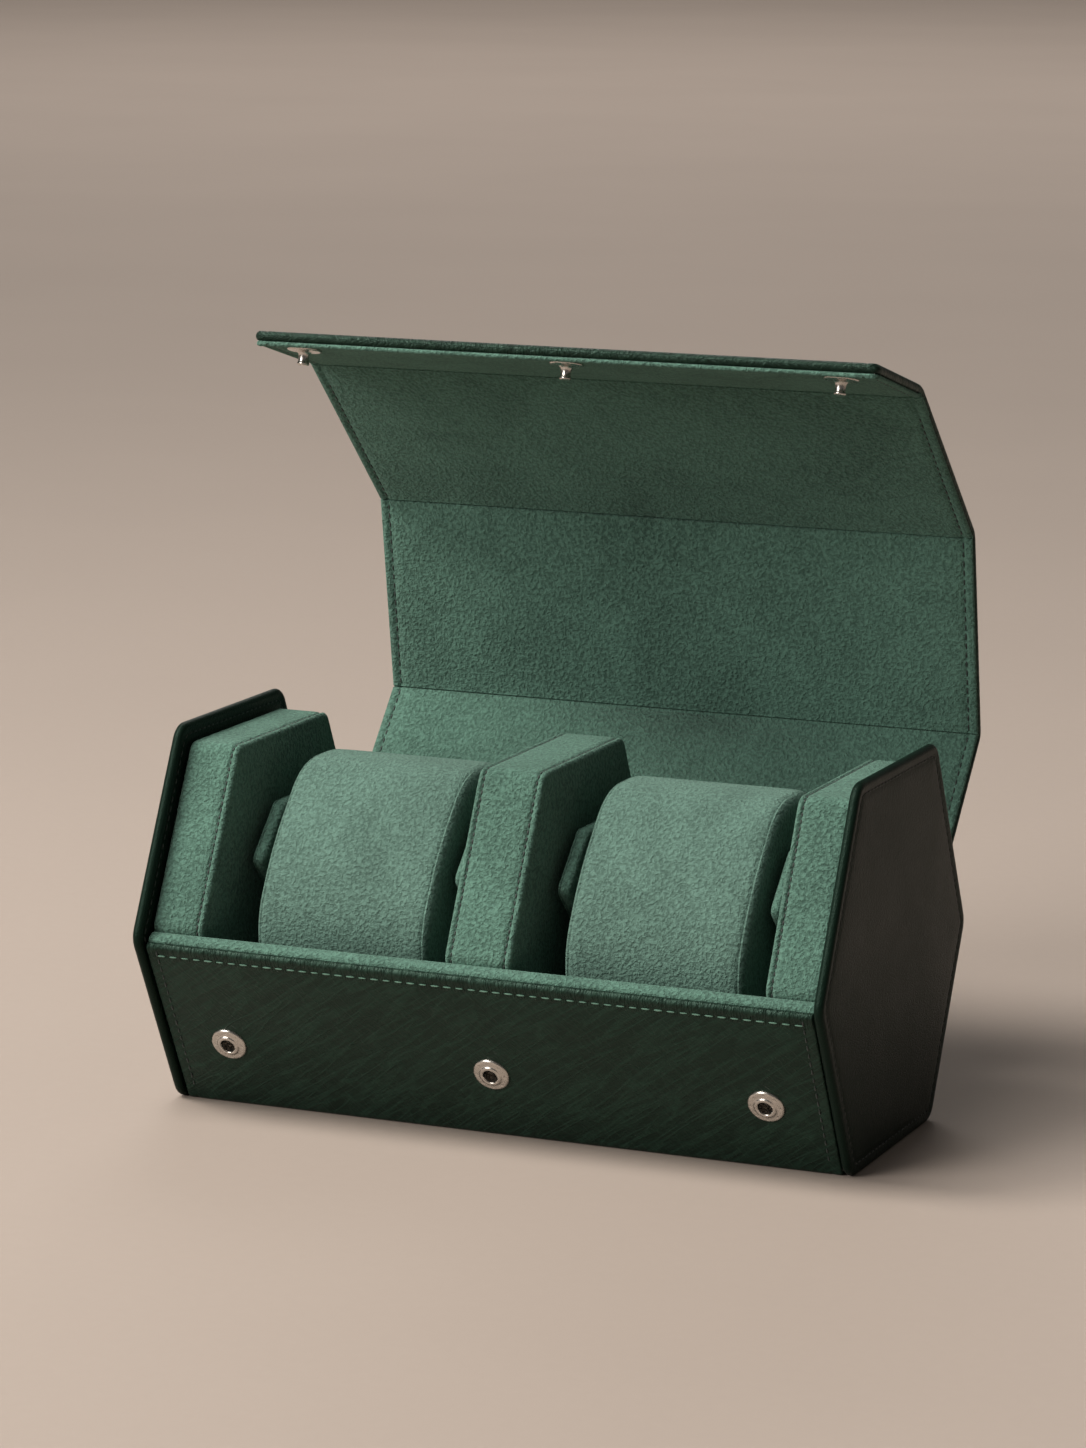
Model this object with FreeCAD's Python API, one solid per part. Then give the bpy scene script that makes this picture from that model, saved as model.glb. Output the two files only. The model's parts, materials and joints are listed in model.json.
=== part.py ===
import FreeCAD, Part
import math
import os

# Storage case for two watches: a hexagonal leather case, open at the top and front, with a wrap lid
# of four stiff panels that fold along leather creases and close over the front with press studs.
# Millimetres. x runs along the case, y from the front to the back, z up.
# The origin is the centre of the underside. The lid stands open, as it does in use.

# Section of the end panels
case_length = 195.0
base_width = 63.0
middle_width = 114.0
top_width = 61.0
middle_height = 49.5
case_height = 103.0
section_corner_radius = 6.0

# Sheet thicknesses
leather_thickness = 1.2
lining_thickness = 0.8
case_board_thickness = 2.0
front_board_thickness = 3.4
lid_board_thickness = 1.5

# End panels: a leather dish round a board, closed on the inside by a leather facing
end_panel_thickness = 3.0
end_facing_thickness = 0.8
end_edge_radius = 0.9

# Wrap: front, base and back walls between the end panels
rim_proud = 1.2
wrap_side_gap = 0.3
base_fold_radius = 2.0
front_wall_drop = 2.8
lining_fold_radius = 1.0
glue_gap = 0.05

# End pads and centre divider
pad_inset = 5.0
pad_thickness = 16.0
pad_corner_radius = 4.0
pad_edge_rounding = 1.4
pad_crown = 0.8
pad_crown_width = 11.0
divider_thickness = 20.5
pad_padding = 2.0
soft_gap = 0.2

# Watch pillows
pillow_top_height = 92.4
pillow_top_width = 24.0
pillow_top_radius = 20.0
pillow_nose_height = 50.0
pillow_nose_width = 84.6
pillow_nose_radius = 23.0
pillow_bottom_width = 34.0
pillow_bottom_radius = 10.0
pillow_edge_rounding = 2.0
pillow_end_draw = 2.0
pillow_padding = 5.0
pillow_bulge = 3.4
pillow_curve_share = 0.38

# Plates that stand off the pillows' ends
plate_centre_height = 67.0
plate_width = 58.0
plate_top_width = 30.0
plate_height = 28.0
plate_thickness = 3.6
plate_corner_radius = 2.5
plate_edge_rounding = 0.8
plate_standoff = 2.4
plate_end_gap = 2.825
hub_width = 24.0
hub_height = 14.0

# Lid panels and their leather creases
lid_end_gap = 5.5
lining_margin = 1.5
flap_edge_margin = 7.4
flap_corner_radius = 2.5
mitre_gap = 0.5
crease_clearance = 0.05
wall_top_clearance = 0.5

# How far each crease stands open, in degrees from the closed case
lid_hinge_angle = 67.5
rear_crease_angle = 13.7
front_crease_angle = 26.3
flap_crease_angle = 24.6

# Press studs, three sockets on the front wall and three studs on the flap
snap_end_margin = 17.5
snap_height = 20.9
socket_radius = 5.08
socket_face_height = 0.75
socket_edge_height = 0.4
socket_lip_radius = 3.0
socket_lip_slope = 0.4
socket_lip_height = 1.25
socket_barrel_radius = 2.6
socket_bore_radius = 2.0
spring_height = 0.8
spring_bore_radius = 1.75
post_flange_radius = 4.0
post_flange_thickness = 0.5
post_shaft_radius = 1.5
stud_flange_radius = 4.75
stud_flange_thickness = 0.7
stud_edge_rounding = 0.3
stud_neck_radius = 1.4
stud_head_radius = 1.65
stud_reach = 2.2
snap_play = 0.3

# Overrun of cutting tools past the faces that they cut
overrun = 1.0


def at(y, z):
    """Point of the section plane."""
    return FreeCAD.Vector(0, y, z)


def inward(along):
    """Unit normal that points into the section, for a side that runs along a direction."""
    return at(-along.z, along.y)


section = {
    "base_front": at(-base_width / 2, 0),
    "base_back": at(base_width / 2, 0),
    "middle_back": at(middle_width / 2, middle_height),
    "top_back": at(top_width / 2, case_height),
    "top_front": at(-top_width / 2, case_height),
    "middle_front": at(-middle_width / 2, middle_height),
}
sides = {
    "base": ("base_front", "base_back"),
    "back_lower": ("base_back", "middle_back"),
    "back_upper": ("middle_back", "top_back"),
    "top": ("top_back", "top_front"),
    "front_upper": ("top_front", "middle_front"),
    "front_lower": ("middle_front", "base_front"),
}

# Places that follow from the sizes above
panel_inside = case_length / 2 - end_panel_thickness
wrap_half = panel_inside - wrap_side_gap
board_inset = rim_proud + leather_thickness
wall_lining_inset = board_inset + case_board_thickness
wall_inside = wall_lining_inset + lining_thickness
front_lining_inset = board_inset + front_board_thickness
front_inside = front_lining_inset + lining_thickness
floor_lining_height = leather_thickness + case_board_thickness
floor_height = floor_lining_height + lining_thickness
lid_thickness = leather_thickness + lid_board_thickness + lining_thickness
crease_radius = leather_thickness / 2
snap_gap = socket_lip_height + stud_flange_thickness + snap_play
flap_outer_inset = rim_proud - snap_gap - lid_thickness
pad_inner_face = panel_inside - pad_thickness
compartment_centre = (pad_inner_face + divider_thickness / 2) / 2
compartment_width = pad_inner_face - divider_thickness / 2
pillow_length = compartment_width - (plate_standoff + plate_thickness + plate_end_gap) * 2
pillow_bottom_height = floor_height + soft_gap
lid_half = panel_inside - lid_end_gap
snap_spacing = wrap_half - snap_end_margin


def side(name, inset):
    """Line of one side of the section, moved inwards, as a point and a direction."""
    start, end = (section[corner] for corner in sides[name])
    along = (end - start).normalize()
    return start + inward(along) * inset, along


def meet(line, other):
    """Point where two lines of the section plane cross."""
    point, along = line
    base, way = other
    gap = base - point
    share = (gap.y * way.z - gap.z * way.y) / (along.y * way.z - along.z * way.y)
    return point + along * share


def square_end(name, point, distance):
    """Line square to a side, through a place along it."""
    along = side(name, 0)[1]
    return point + along * distance, inward(along)


def mitre_end(name, neighbour, hinge, distance):
    """Line that halves the closed fold between two sides, moved along the first one."""
    along = side(name, 0)[1]
    half = inward(along) + inward(side(neighbour, 0)[1])
    return hinge + along * distance, half.normalize()


def strip(name, outer, inner, start, end):
    """Corners of a flat layer that lies along one side, between two end lines."""
    near, far = side(name, outer), side(name, inner)
    return [meet(near, start), meet(near, end), meet(far, end), meet(far, start)]


def rounded(points, radii):
    """Closed wire through the points, with each corner rounded by its radius."""
    starts = []
    ends = []
    edges = []
    for place, (corner, radius) in enumerate(zip(points, radii)):
        back = (points[place - 1] - corner).normalize()
        ahead = (points[(place + 1) % len(points)] - corner).normalize()
        half = back.getAngle(ahead) / 2
        reach = radius / math.tan(half)
        starts.append(corner + back * reach)
        ends.append(corner + ahead * reach)
        if radius > 0:
            bisector = (back + ahead).normalize()
            middle = corner + bisector * (radius / math.sin(half) - radius)
            edges.append(Part.Arc(starts[-1], middle, ends[-1]).toShape())
    for place, end in enumerate(ends):
        edges.append(Part.LineSegment(end, starts[(place + 1) % len(points)]).toShape())
    return Part.Wire(Part.__sortEdges__(edges))


def prism(wire, low, high):
    """Solid of a section wire, from one place along the case to another."""
    face = Part.Face(wire)
    face.translate(FreeCAD.Vector(low, 0, 0))
    return face.extrude(FreeCAD.Vector(high - low, 0, 0))


def sharp(points):
    """Closed wire with plain corners."""
    return rounded(points, [0] * len(points))


def slab(points, half_width):
    """Straight layer across the case, as wide on both sides of the middle."""
    return prism(sharp(points), -half_width, half_width)


def ringed(stations):
    """Soft solid through rounded outlines: each station is a place along x and its wire."""
    wires = []
    for place, wire in stations:
        wire = wire.copy()
        wire.translate(FreeCAD.Vector(place, 0, 0))
        wires.append(wire)
    return Part.makeLoft(wires, True, True)


def mirrored(shape):
    """The same piece at the other end of the case."""
    return shape.mirror(FreeCAD.Vector(0, 0, 0), FreeCAD.Vector(1, 0, 0))


def hexagon(insets, radius, foot_radius):
    """Rounded outline whose six sides lie inside those of the section; the foot is its two base corners."""
    names = list(sides)
    points = []
    radii = []
    for place, name in enumerate(names):
        before = names[place - 1]
        points.append(meet(side(before, insets[before]), side(name, insets[name])))
        radii.append(foot_radius if "base" in (before, name) else radius)
    return rounded(points, radii)


def even(inset):
    """The same inset on all six sides."""
    return {name: inset for name in sides}


def shrunk(points, radii, inset):
    """Outline of a convex shape, drawn in all round."""
    lines = []
    for place, point in enumerate(points):
        along = (points[(place + 1) % len(points)] - point).normalize()
        lines.append((point + inward(along) * inset, along))
    corners = [meet(lines[place - 1], line) for place, line in enumerate(lines)]
    return rounded(corners, [radius - inset for radius in radii])


def export(name, *solids):
    """Write one node: a solid, or a group of like solids."""
    shape = solids[0] if len(solids) == 1 else Part.makeCompound(list(solids))
    shape.exportStep("parts/" + name + ".step")


def end_panel():
    """Leather dish, board and facing of the panel at the +x end."""
    outside = panel_inside + end_panel_thickness
    dish = prism(hexagon(even(0), section_corner_radius, section_corner_radius), panel_inside, outside)
    rim = [edge for edge in dish.Edges if abs(edge.BoundBox.XMin - outside) < glue_gap]
    dish = dish.makeFillet(end_edge_radius, rim)
    lined_radius = section_corner_radius - leather_thickness
    pocket_floor = outside - leather_thickness
    hollow = hexagon(even(leather_thickness), lined_radius, lined_radius)
    pocket = prism(hollow, panel_inside - overrun, pocket_floor)
    fitted_radius = lined_radius - glue_gap
    fitted = hexagon(even(leather_thickness + glue_gap), fitted_radius, fitted_radius)
    facing_back = panel_inside + end_facing_thickness
    board = prism(fitted, facing_back, pocket_floor)
    facing = prism(fitted, panel_inside, facing_back)
    return dish.cut(pocket), board, facing


def front_top(raise_by):
    """Line along the top edge of the front wall, square to the wall."""
    return square_end("front_lower", section["middle_front"], front_wall_drop - raise_by)


def hinge_places():
    """Crease axes on the closed case, in the middle of the leather, from the back to the flap."""
    depth = rim_proud + leather_thickness / 2
    flap_depth = flap_outer_inset + leather_thickness / 2
    folds = [
        ("back_lower", depth, "back_upper", depth),
        ("back_upper", depth, "top", depth),
        ("top", depth, "front_upper", depth),
        ("front_upper", depth, "front_lower", flap_depth),
    ]
    return [meet(side(first, a), side(second, b)) for first, a, second, b in folds]


hinges = hinge_places()
hinge_reach = crease_radius + crease_clearance


def wrap_cover():
    """Leather of the front wall, the base and the back wall, in one folded sheet."""
    top_end = front_top(0)
    back_end = square_end("back_lower", hinges[0], -hinge_reach)
    outer = {"front_lower": rim_proud, "base": 0, "back_lower": rim_proud}
    inner = {name: inset + leather_thickness for name, inset in outer.items()}

    def run(insets):
        lines = [side(name, inset) for name, inset in insets.items()]
        chain = [top_end] + lines + [back_end]
        return [meet(first, second) for first, second in zip(chain, chain[1:])]

    points = run(outer) + run(inner)[::-1]
    edge_radius = leather_thickness / 2 - glue_gap
    radii = [edge_radius, base_fold_radius, base_fold_radius, 0, 0, 0, 0, edge_radius]
    return prism(rounded(points, radii), -wrap_half, wrap_half)


def wall_boards():
    """Boards of the front wall, the base and the back wall, mitred where they meet."""
    front_corner = meet(side("front_lower", board_inset), side("base", leather_thickness))
    front_inner = meet(side("front_lower", front_lining_inset), side("base", floor_lining_height))
    back_corner = meet(side("back_lower", board_inset), side("base", leather_thickness))
    back_inner = meet(side("back_lower", wall_lining_inset), side("base", floor_lining_height))
    front_mitre = (front_corner, (front_inner - front_corner).normalize())
    back_mitre = (back_corner, (back_inner - back_corner).normalize())
    top_end = front_top(-lining_thickness)
    hinge_end = mitre_end("back_lower", "back_upper", hinges[0], -mitre_gap)
    layers = {
        "front_board": strip("front_lower", board_inset, front_lining_inset, top_end, front_mitre),
        "base_board": strip("base", leather_thickness, floor_lining_height, front_mitre, back_mitre),
        "back_board": strip("back_lower", board_inset, wall_lining_inset, back_mitre, hinge_end),
    }
    return {name: slab(points, wrap_half) for name, points in layers.items()}


def wrap_lining():
    """Suede over the inside of the three walls, turned over the top of the front board."""
    top_end, cap_end = front_top(0), front_top(-lining_thickness)
    hinge_end = mitre_end("back_lower", "back_upper", hinges[0], -mitre_gap)
    leather_face = side("front_lower", board_inset)
    front, floor, back = (
        side("front_lower", front_lining_inset),
        side("base", floor_lining_height),
        side("back_lower", wall_lining_inset),
    )
    front_in, floor_in, back_in = (
        side("front_lower", front_inside),
        side("base", floor_height),
        side("back_lower", wall_inside),
    )
    points = [
        meet(leather_face, top_end),
        meet(leather_face, cap_end),
        meet(front, cap_end),
        meet(front, floor),
        meet(floor, back),
        meet(back, hinge_end),
        meet(back_in, hinge_end),
        meet(floor_in, back_in),
        meet(front_in, floor_in),
        meet(front_in, top_end),
    ]
    radii = [0] * len(points)
    radii[-1] = lining_fold_radius
    return prism(rounded(points, radii), -wrap_half, wrap_half)


def pad_insets():
    """Upper sides stand clear of the closed lid, and lower sides clear of the walls."""
    insets = even(pad_inset)
    insets["base"] = floor_height + soft_gap
    insets["front_lower"] = front_inside + soft_gap
    insets["back_lower"] = wall_inside + soft_gap
    return insets


def pad_wire(draw):
    """Outline of a pad, drawn in all round."""
    insets = {name: inset + draw for name, inset in pad_insets().items()}
    insets["base"] = pad_insets()["base"]
    return hexagon(insets, pad_corner_radius, 0)


def end_pad():
    """Suede cover and core of the pad at the +x end, with a crowned inner face."""
    rim = pad_inner_face + pad_edge_rounding
    form = ringed([
        (panel_inside, pad_wire(0)),
        (rim, pad_wire(0)),
        (pad_inner_face + pad_crown, pad_wire(pad_edge_rounding)),
        (pad_inner_face, pad_wire(pad_crown_width)),
    ])
    return covered(form, rim, panel_inside - pad_edge_rounding)


def divider():
    """Suede cover and core of the divider, crowned on both faces."""
    half = divider_thickness / 2
    stations = [
        (half, pad_wire(pad_crown_width)),
        (half - pad_crown, pad_wire(pad_edge_rounding)),
        (half - pad_edge_rounding, pad_wire(0)),
    ]
    stations += [(-place, wire) for place, wire in stations[::-1]]
    return covered(ringed(stations), -half + pad_edge_rounding, half - pad_edge_rounding)


def covered(form, low, high):
    """A padded form as its suede cover and the core inside it."""
    insets = {name: inset + pad_padding for name, inset in pad_insets().items()}
    core = prism(hexagon(insets, 0, 0), low, high)
    return form.cut(core), core


def pillow():
    """Suede cover and core of a pillow at the middle of the case: a rounded drum with drawn-in ends."""
    bottom = at(pillow_bottom_width / 2, pillow_bottom_height)
    nose = at(pillow_nose_width / 2, pillow_nose_height)
    top = at(pillow_top_width / 2, pillow_top_height)
    rise = top - nose
    shoulder = (nose + top) / 2 + at(rise.z, -rise.y).normalize() * pillow_bulge
    shoulder_radius = (shoulder - nose).Length * pillow_curve_share * rise.Length / (pillow_bulge * 2)
    right = [bottom, nose, shoulder, top]
    points = right + [at(-point.y, point.z) for point in right[::-1]]
    radii = [pillow_bottom_radius, pillow_nose_radius, shoulder_radius, pillow_top_radius]
    radii = radii + radii[::-1]
    end = pillow_length / 2
    stations = [
        (end, shrunk(points, radii, pillow_end_draw)),
        (end - pillow_edge_rounding, shrunk(points, radii, 0)),
    ]
    form = ringed(stations + [(-place, wire) for place, wire in stations[::-1]])
    core_end = end - pillow_edge_rounding
    core = prism(shrunk(points, [pillow_padding] * len(points), pillow_padding), -core_end, core_end)
    return form.cut(core), core


def end_plate():
    """Plate beyond the +x end of a pillow at the middle of the case, and the hub that carries it."""
    low, high = plate_centre_height - plate_height / 2, plate_centre_height + plate_height / 2
    points = [
        at(plate_top_width / 2, low),
        at(plate_width / 2, plate_centre_height),
        at(plate_top_width / 2, high),
        at(-plate_top_width / 2, high),
        at(-plate_width / 2, plate_centre_height),
        at(-plate_top_width / 2, low),
    ]
    inner = pillow_length / 2 + plate_standoff
    outer = inner + plate_thickness
    radii = [plate_corner_radius] * len(points)
    plate = ringed([
        (inner, shrunk(points, radii, 0)),
        (outer - plate_edge_rounding, shrunk(points, radii, 0)),
        (outer, shrunk(points, radii, plate_edge_rounding)),
    ])
    hub_corner = FreeCAD.Vector(pillow_length / 2, -hub_width / 2, plate_centre_height - hub_height / 2)
    return plate, Part.makeBox(plate_standoff, hub_width, hub_height, hub_corner)


def opened(shape, level):
    """A piece of the closed lid, turned about each crease up to its own into the open pose."""
    angles = [lid_hinge_angle, rear_crease_angle, front_crease_angle, flap_crease_angle]
    shape = shape.copy()
    for place in range(level, -1, -1):
        shape.rotate(hinges[place], FreeCAD.Vector(1, 0, 0), -angles[place])
    return shape


def snap_line():
    """Height of the snaps on the line of the front wall."""
    return section["base_front"] - side("front_lower", 0)[1] * snap_height


def free_corners(sheet, end):
    """Edges through the thickness of a sheet, at the two ends of its free edge."""
    point, across = end
    along = at(across.z, -across.y)
    corners = []
    for edge in sheet.Edges:
        centre = edge.CenterOfMass
        if abs(abs(centre.x) - lid_half) < glue_gap and abs((centre - point).dot(along)) < glue_gap:
            corners.append(edge)
    return corners


def lid_panel(level):
    """Leather, board and lining of one lid panel on the closed case, with mitred inner layers."""
    names = ["back_lower", "back_upper", "top", "front_upper", "front_lower"]
    before, name = names[level], names[level + 1]
    last = level == len(hinges) - 1
    outer = flap_outer_inset if last else rim_proud
    inside = outer + leather_thickness
    lining_face = inside + lid_board_thickness
    start = mitre_end(name, before, hinges[level], mitre_gap)
    leather_start = square_end(name, hinges[level], hinge_reach)
    if last:
        leather_end = square_end(name, snap_line(), flap_edge_margin)
        end = square_end(name, snap_line(), flap_edge_margin - leather_thickness)
        lining_end = square_end(name, snap_line(), flap_edge_margin - lining_margin)
    else:
        leather_end = square_end(name, hinges[level + 1], -hinge_reach)
        end = mitre_end(name, names[level + 2], hinges[level + 1], -mitre_gap)
        if level == len(hinges) - 2:
            end = front_top(wall_top_clearance)
        lining_end = end
    board_half = lid_half - leather_thickness
    cover = slab(strip(name, outer, inside, leather_start, leather_end), lid_half)
    lip = prism(sharp(strip(name, inside, lining_face, start, end)), board_half, lid_half)
    cover = cover.fuse([lip, mirrored(lip)])
    if last:
        edge = slab(strip(name, inside, lining_face, end, leather_end), lid_half)
        cover = cover.fuse(edge).removeSplitter()
        cover = cover.makeFillet(flap_corner_radius, free_corners(cover, leather_end))
    board = slab(strip(name, inside, lining_face, start, end), board_half - glue_gap)
    lining_half = lid_half - lining_margin
    lining = slab(strip(name, lining_face, lining_face + lining_thickness, start, lining_end), lining_half)
    return cover.removeSplitter(), board, lining


def crease(level):
    """Rounded leather fold on one crease axis of the closed case."""
    start = hinges[level] - FreeCAD.Vector(lid_half, 0, 0)
    return Part.makeCylinder(crease_radius, lid_half * 2, start, FreeCAD.Vector(1, 0, 0))


def turned(points):
    """Round piece from half of its section: points are distances from the axis and heights."""
    wire = Part.makePolygon([FreeCAD.Vector(radius, 0, height) for radius, height in points + points[:1]])
    return Part.Face(wire).revolve(FreeCAD.Vector(0, 0, 0), FreeCAD.Vector(0, 0, 1))


def disc(radius, low, high):
    """Round plug on the snap's axis."""
    return Part.makeCylinder(radius, high - low, FreeCAD.Vector(0, 0, low))


def snapped(shape):
    """A snap piece made on the z axis, set on the front wall's leather at each of the three places."""
    outward = inward(side("front_lower", 0)[1]) * -1
    seat = snap_line() - outward * rim_proud
    turn = FreeCAD.Rotation(FreeCAD.Vector(0, 0, 1), outward)
    pieces = []
    for count in (-1, 0, 1):
        piece = shape.copy()
        piece.Placement = FreeCAD.Placement(seat + FreeCAD.Vector(count * snap_spacing, 0, 0), turn)
        pieces.append(piece)
    return pieces


barrel_depth = leather_thickness + front_board_thickness - post_flange_thickness


def socket():
    """Ring, raised lip and barrel of a press-stud socket, on the leather at height zero."""
    return turned([
        (socket_bore_radius, socket_lip_height),
        (socket_lip_radius, socket_lip_height),
        (socket_lip_radius + socket_lip_slope, socket_face_height),
        (socket_radius, socket_edge_height),
        (socket_radius, 0),
        (socket_barrel_radius, 0),
        (socket_barrel_radius, spring_height - barrel_depth),
        (socket_bore_radius, spring_height - barrel_depth),
    ])


def socket_spring():
    """Spring ring between the socket's barrel and its post, that grips the stud."""
    top = spring_height - barrel_depth
    return turned([
        (spring_bore_radius, top),
        (socket_barrel_radius, top),
        (socket_barrel_radius, -barrel_depth),
        (spring_bore_radius, -barrel_depth),
    ])


def socket_post():
    """Flange behind the front board that the socket's barrel is set on."""
    return disc(post_flange_radius, -barrel_depth - post_flange_thickness, -barrel_depth)


def stud():
    """Press stud on the flap's lining: its nub points into the socket, its shank goes through the board."""
    face = snap_gap - stud_flange_thickness
    shank_end = snap_gap + lining_thickness + lid_board_thickness - post_flange_thickness
    return turned([
        (0, shank_end),
        (post_shaft_radius, shank_end),
        (post_shaft_radius, snap_gap),
        (stud_flange_radius, snap_gap),
        (stud_flange_radius, face),
        (stud_neck_radius, face),
        (stud_head_radius, stud_edge_rounding - stud_reach),
        (stud_head_radius - stud_edge_rounding, -stud_reach),
        (0, -stud_reach),
    ])


def stud_post():
    """Flange under the flap's leather, that the stud's shank is set on."""
    top = snap_gap + lining_thickness + lid_board_thickness
    return disc(post_flange_radius, top - post_flange_thickness, top)


def bored(shape, *plugs):
    """A layer with a hole for each plug at the three snap places."""
    for plug in plugs:
        shape = shape.cut(snapped(plug))
    return shape


def build_case():
    """Pieces that stay on the table."""
    for piece, shape in zip(("end_cover", "end_board", "end_facing"), end_panel()):
        export(piece + "_right", shape)
        export(piece + "_left", mirrored(shape))
    for piece, shape in zip(("end_pad_cover", "end_pad_core"), end_pad()):
        export(piece + "_right", shape)
        export(piece + "_left", mirrored(shape))
    for piece, shape in zip(("divider_cover", "divider_core"), divider()):
        export(piece, shape)
    barrel_hole = disc(socket_barrel_radius + glue_gap, -barrel_depth - overrun, overrun)
    flange_floor = -barrel_depth - post_flange_thickness
    flange_hole = disc(post_flange_radius + glue_gap, flange_floor - overrun, -barrel_depth)
    boards = wall_boards()
    boards["front_board"] = bored(boards["front_board"], barrel_hole, flange_hole)
    for name, board in boards.items():
        export(name, board)
    export("wrap_cover", bored(wrap_cover(), barrel_hole))
    export("wrap_lining", wrap_lining())
    export("snap_sockets", *snapped(socket()))
    export("socket_springs", *snapped(socket_spring()))
    export("socket_posts", *snapped(socket_post()))


def build_pillows():
    """Two pillows, each with a plate on a hub at both ends."""
    cover, core = pillow()
    plate, hub = end_plate()
    for place, name in ((-compartment_centre, "left"), (compartment_centre, "right")):
        shift = FreeCAD.Vector(place, 0, 0)
        export("pillow_cover_" + name, cover.translated(shift))
        export("pillow_core_" + name, core.translated(shift))
        export("pillow_plates_" + name, plate.translated(shift), mirrored(plate).translated(shift))
        export("pillow_hubs_" + name, hub.translated(shift), mirrored(hub).translated(shift))


def build_lid():
    """Four lid panels and the creases that they turn on, in the open pose."""
    top = snap_gap + lining_thickness + lid_board_thickness
    shaft_hole = disc(post_shaft_radius + glue_gap, snap_gap - overrun, top + glue_gap)
    flange_hole = disc(post_flange_radius + glue_gap, top - post_flange_thickness, top + overrun)
    for level, name in enumerate(("lid_rear", "lid_top", "lid_front", "flap")):
        cover, board, lining = lid_panel(level)
        if name == "flap":
            board = bored(board, shaft_hole, flange_hole)
            lining = bored(lining, shaft_hole)
        export(name + "_cover", opened(cover, level))
        export(name + "_board", opened(board, level))
        export(name + "_lining", opened(lining, level))
    for level, name in enumerate(("back_crease", "rear_crease", "front_crease", "flap_crease")):
        export(name, opened(crease(level), level))
    export("snap_studs", *[opened(piece, len(hinges) - 1) for piece in snapped(stud())])
    export("stud_posts", *[opened(piece, len(hinges) - 1) for piece in snapped(stud_post())])


os.makedirs("parts", exist_ok=True)
build_case()
build_pillows()
build_lid()
for level, name in enumerate(("lid_hinge", "rear_crease", "front_crease", "flap_crease")):
    place = opened(Part.Vertex(hinges[level]), level).Point
    print(name, "axis at y", round(place.y, 3), "z", round(place.z, 3))
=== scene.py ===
import json
import math
from collections import namedtuple
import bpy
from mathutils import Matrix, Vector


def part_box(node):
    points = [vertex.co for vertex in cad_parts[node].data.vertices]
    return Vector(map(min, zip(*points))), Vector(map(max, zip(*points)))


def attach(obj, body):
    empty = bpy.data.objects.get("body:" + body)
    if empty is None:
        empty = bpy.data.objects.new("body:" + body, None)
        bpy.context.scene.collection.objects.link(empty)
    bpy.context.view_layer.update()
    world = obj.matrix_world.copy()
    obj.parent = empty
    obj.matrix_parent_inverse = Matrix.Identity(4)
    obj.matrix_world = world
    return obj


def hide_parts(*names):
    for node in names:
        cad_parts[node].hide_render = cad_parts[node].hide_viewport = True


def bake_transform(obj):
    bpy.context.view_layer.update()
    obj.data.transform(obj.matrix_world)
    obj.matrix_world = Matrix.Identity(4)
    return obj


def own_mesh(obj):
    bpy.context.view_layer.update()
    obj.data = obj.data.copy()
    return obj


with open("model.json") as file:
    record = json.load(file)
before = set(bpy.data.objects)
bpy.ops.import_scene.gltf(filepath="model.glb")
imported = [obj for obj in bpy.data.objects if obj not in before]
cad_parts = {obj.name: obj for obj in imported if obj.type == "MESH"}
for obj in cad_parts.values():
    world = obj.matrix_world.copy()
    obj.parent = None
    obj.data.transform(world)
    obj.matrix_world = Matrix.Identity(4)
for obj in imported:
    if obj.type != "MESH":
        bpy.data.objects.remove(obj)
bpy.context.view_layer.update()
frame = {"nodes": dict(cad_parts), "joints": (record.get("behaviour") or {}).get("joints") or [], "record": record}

from types import SimpleNamespace

import bmesh
import bpy
import numpy as np
from bpy.props import FloatProperty, FloatVectorProperty, IntProperty, PointerProperty
from mathutils import Matrix, Vector

bl_info = {
    "name": "Watch storage case",
    "version": (1, 0, 0),
    "blender": (4, 5, 0),
    "location": "View3D > Sidebar > Watch Case",
    "description": "Leather and suede of a two-watch case with a folding lid, built round its packed solids",
    "category": "Add Mesh",
}

MM = 0.001
SHARP = math.radians(50)  # edges with a sharper turn stay crisp
HANDS = (("left", -1), ("right", 1))
JOINTS = {joint["name"]: joint for joint in frame["joints"]}


# Properties

def length(name, description, millimetres):
    return FloatProperty(name=name, description=description, default=millimetres * MM, unit="LENGTH",
                         precision=4)


def angle(name, description, degrees):
    return FloatProperty(name=name, description=description, default=math.radians(degrees), subtype="ANGLE")


def power(name, description, watts):
    return FloatProperty(name=name, description=description, default=watts, unit="POWER")


def colour(name, description, value):
    return FloatVectorProperty(name=name, description=description, default=value, subtype="COLOR", size=3,
                               min=0, max=1)


def reach(node, axis):
    """Highest place of a CAD node along an axis, in millimetres."""
    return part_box(node)[1][axis] / MM


def span(node):
    """Half length of a CAD node along x and its middle, in millimetres."""
    low, high = (corner[0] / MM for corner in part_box(node))
    return (high - low) / 2, (high + low) / 2


PILLOW_SPAN = span("pillow_cover_right")


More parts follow.
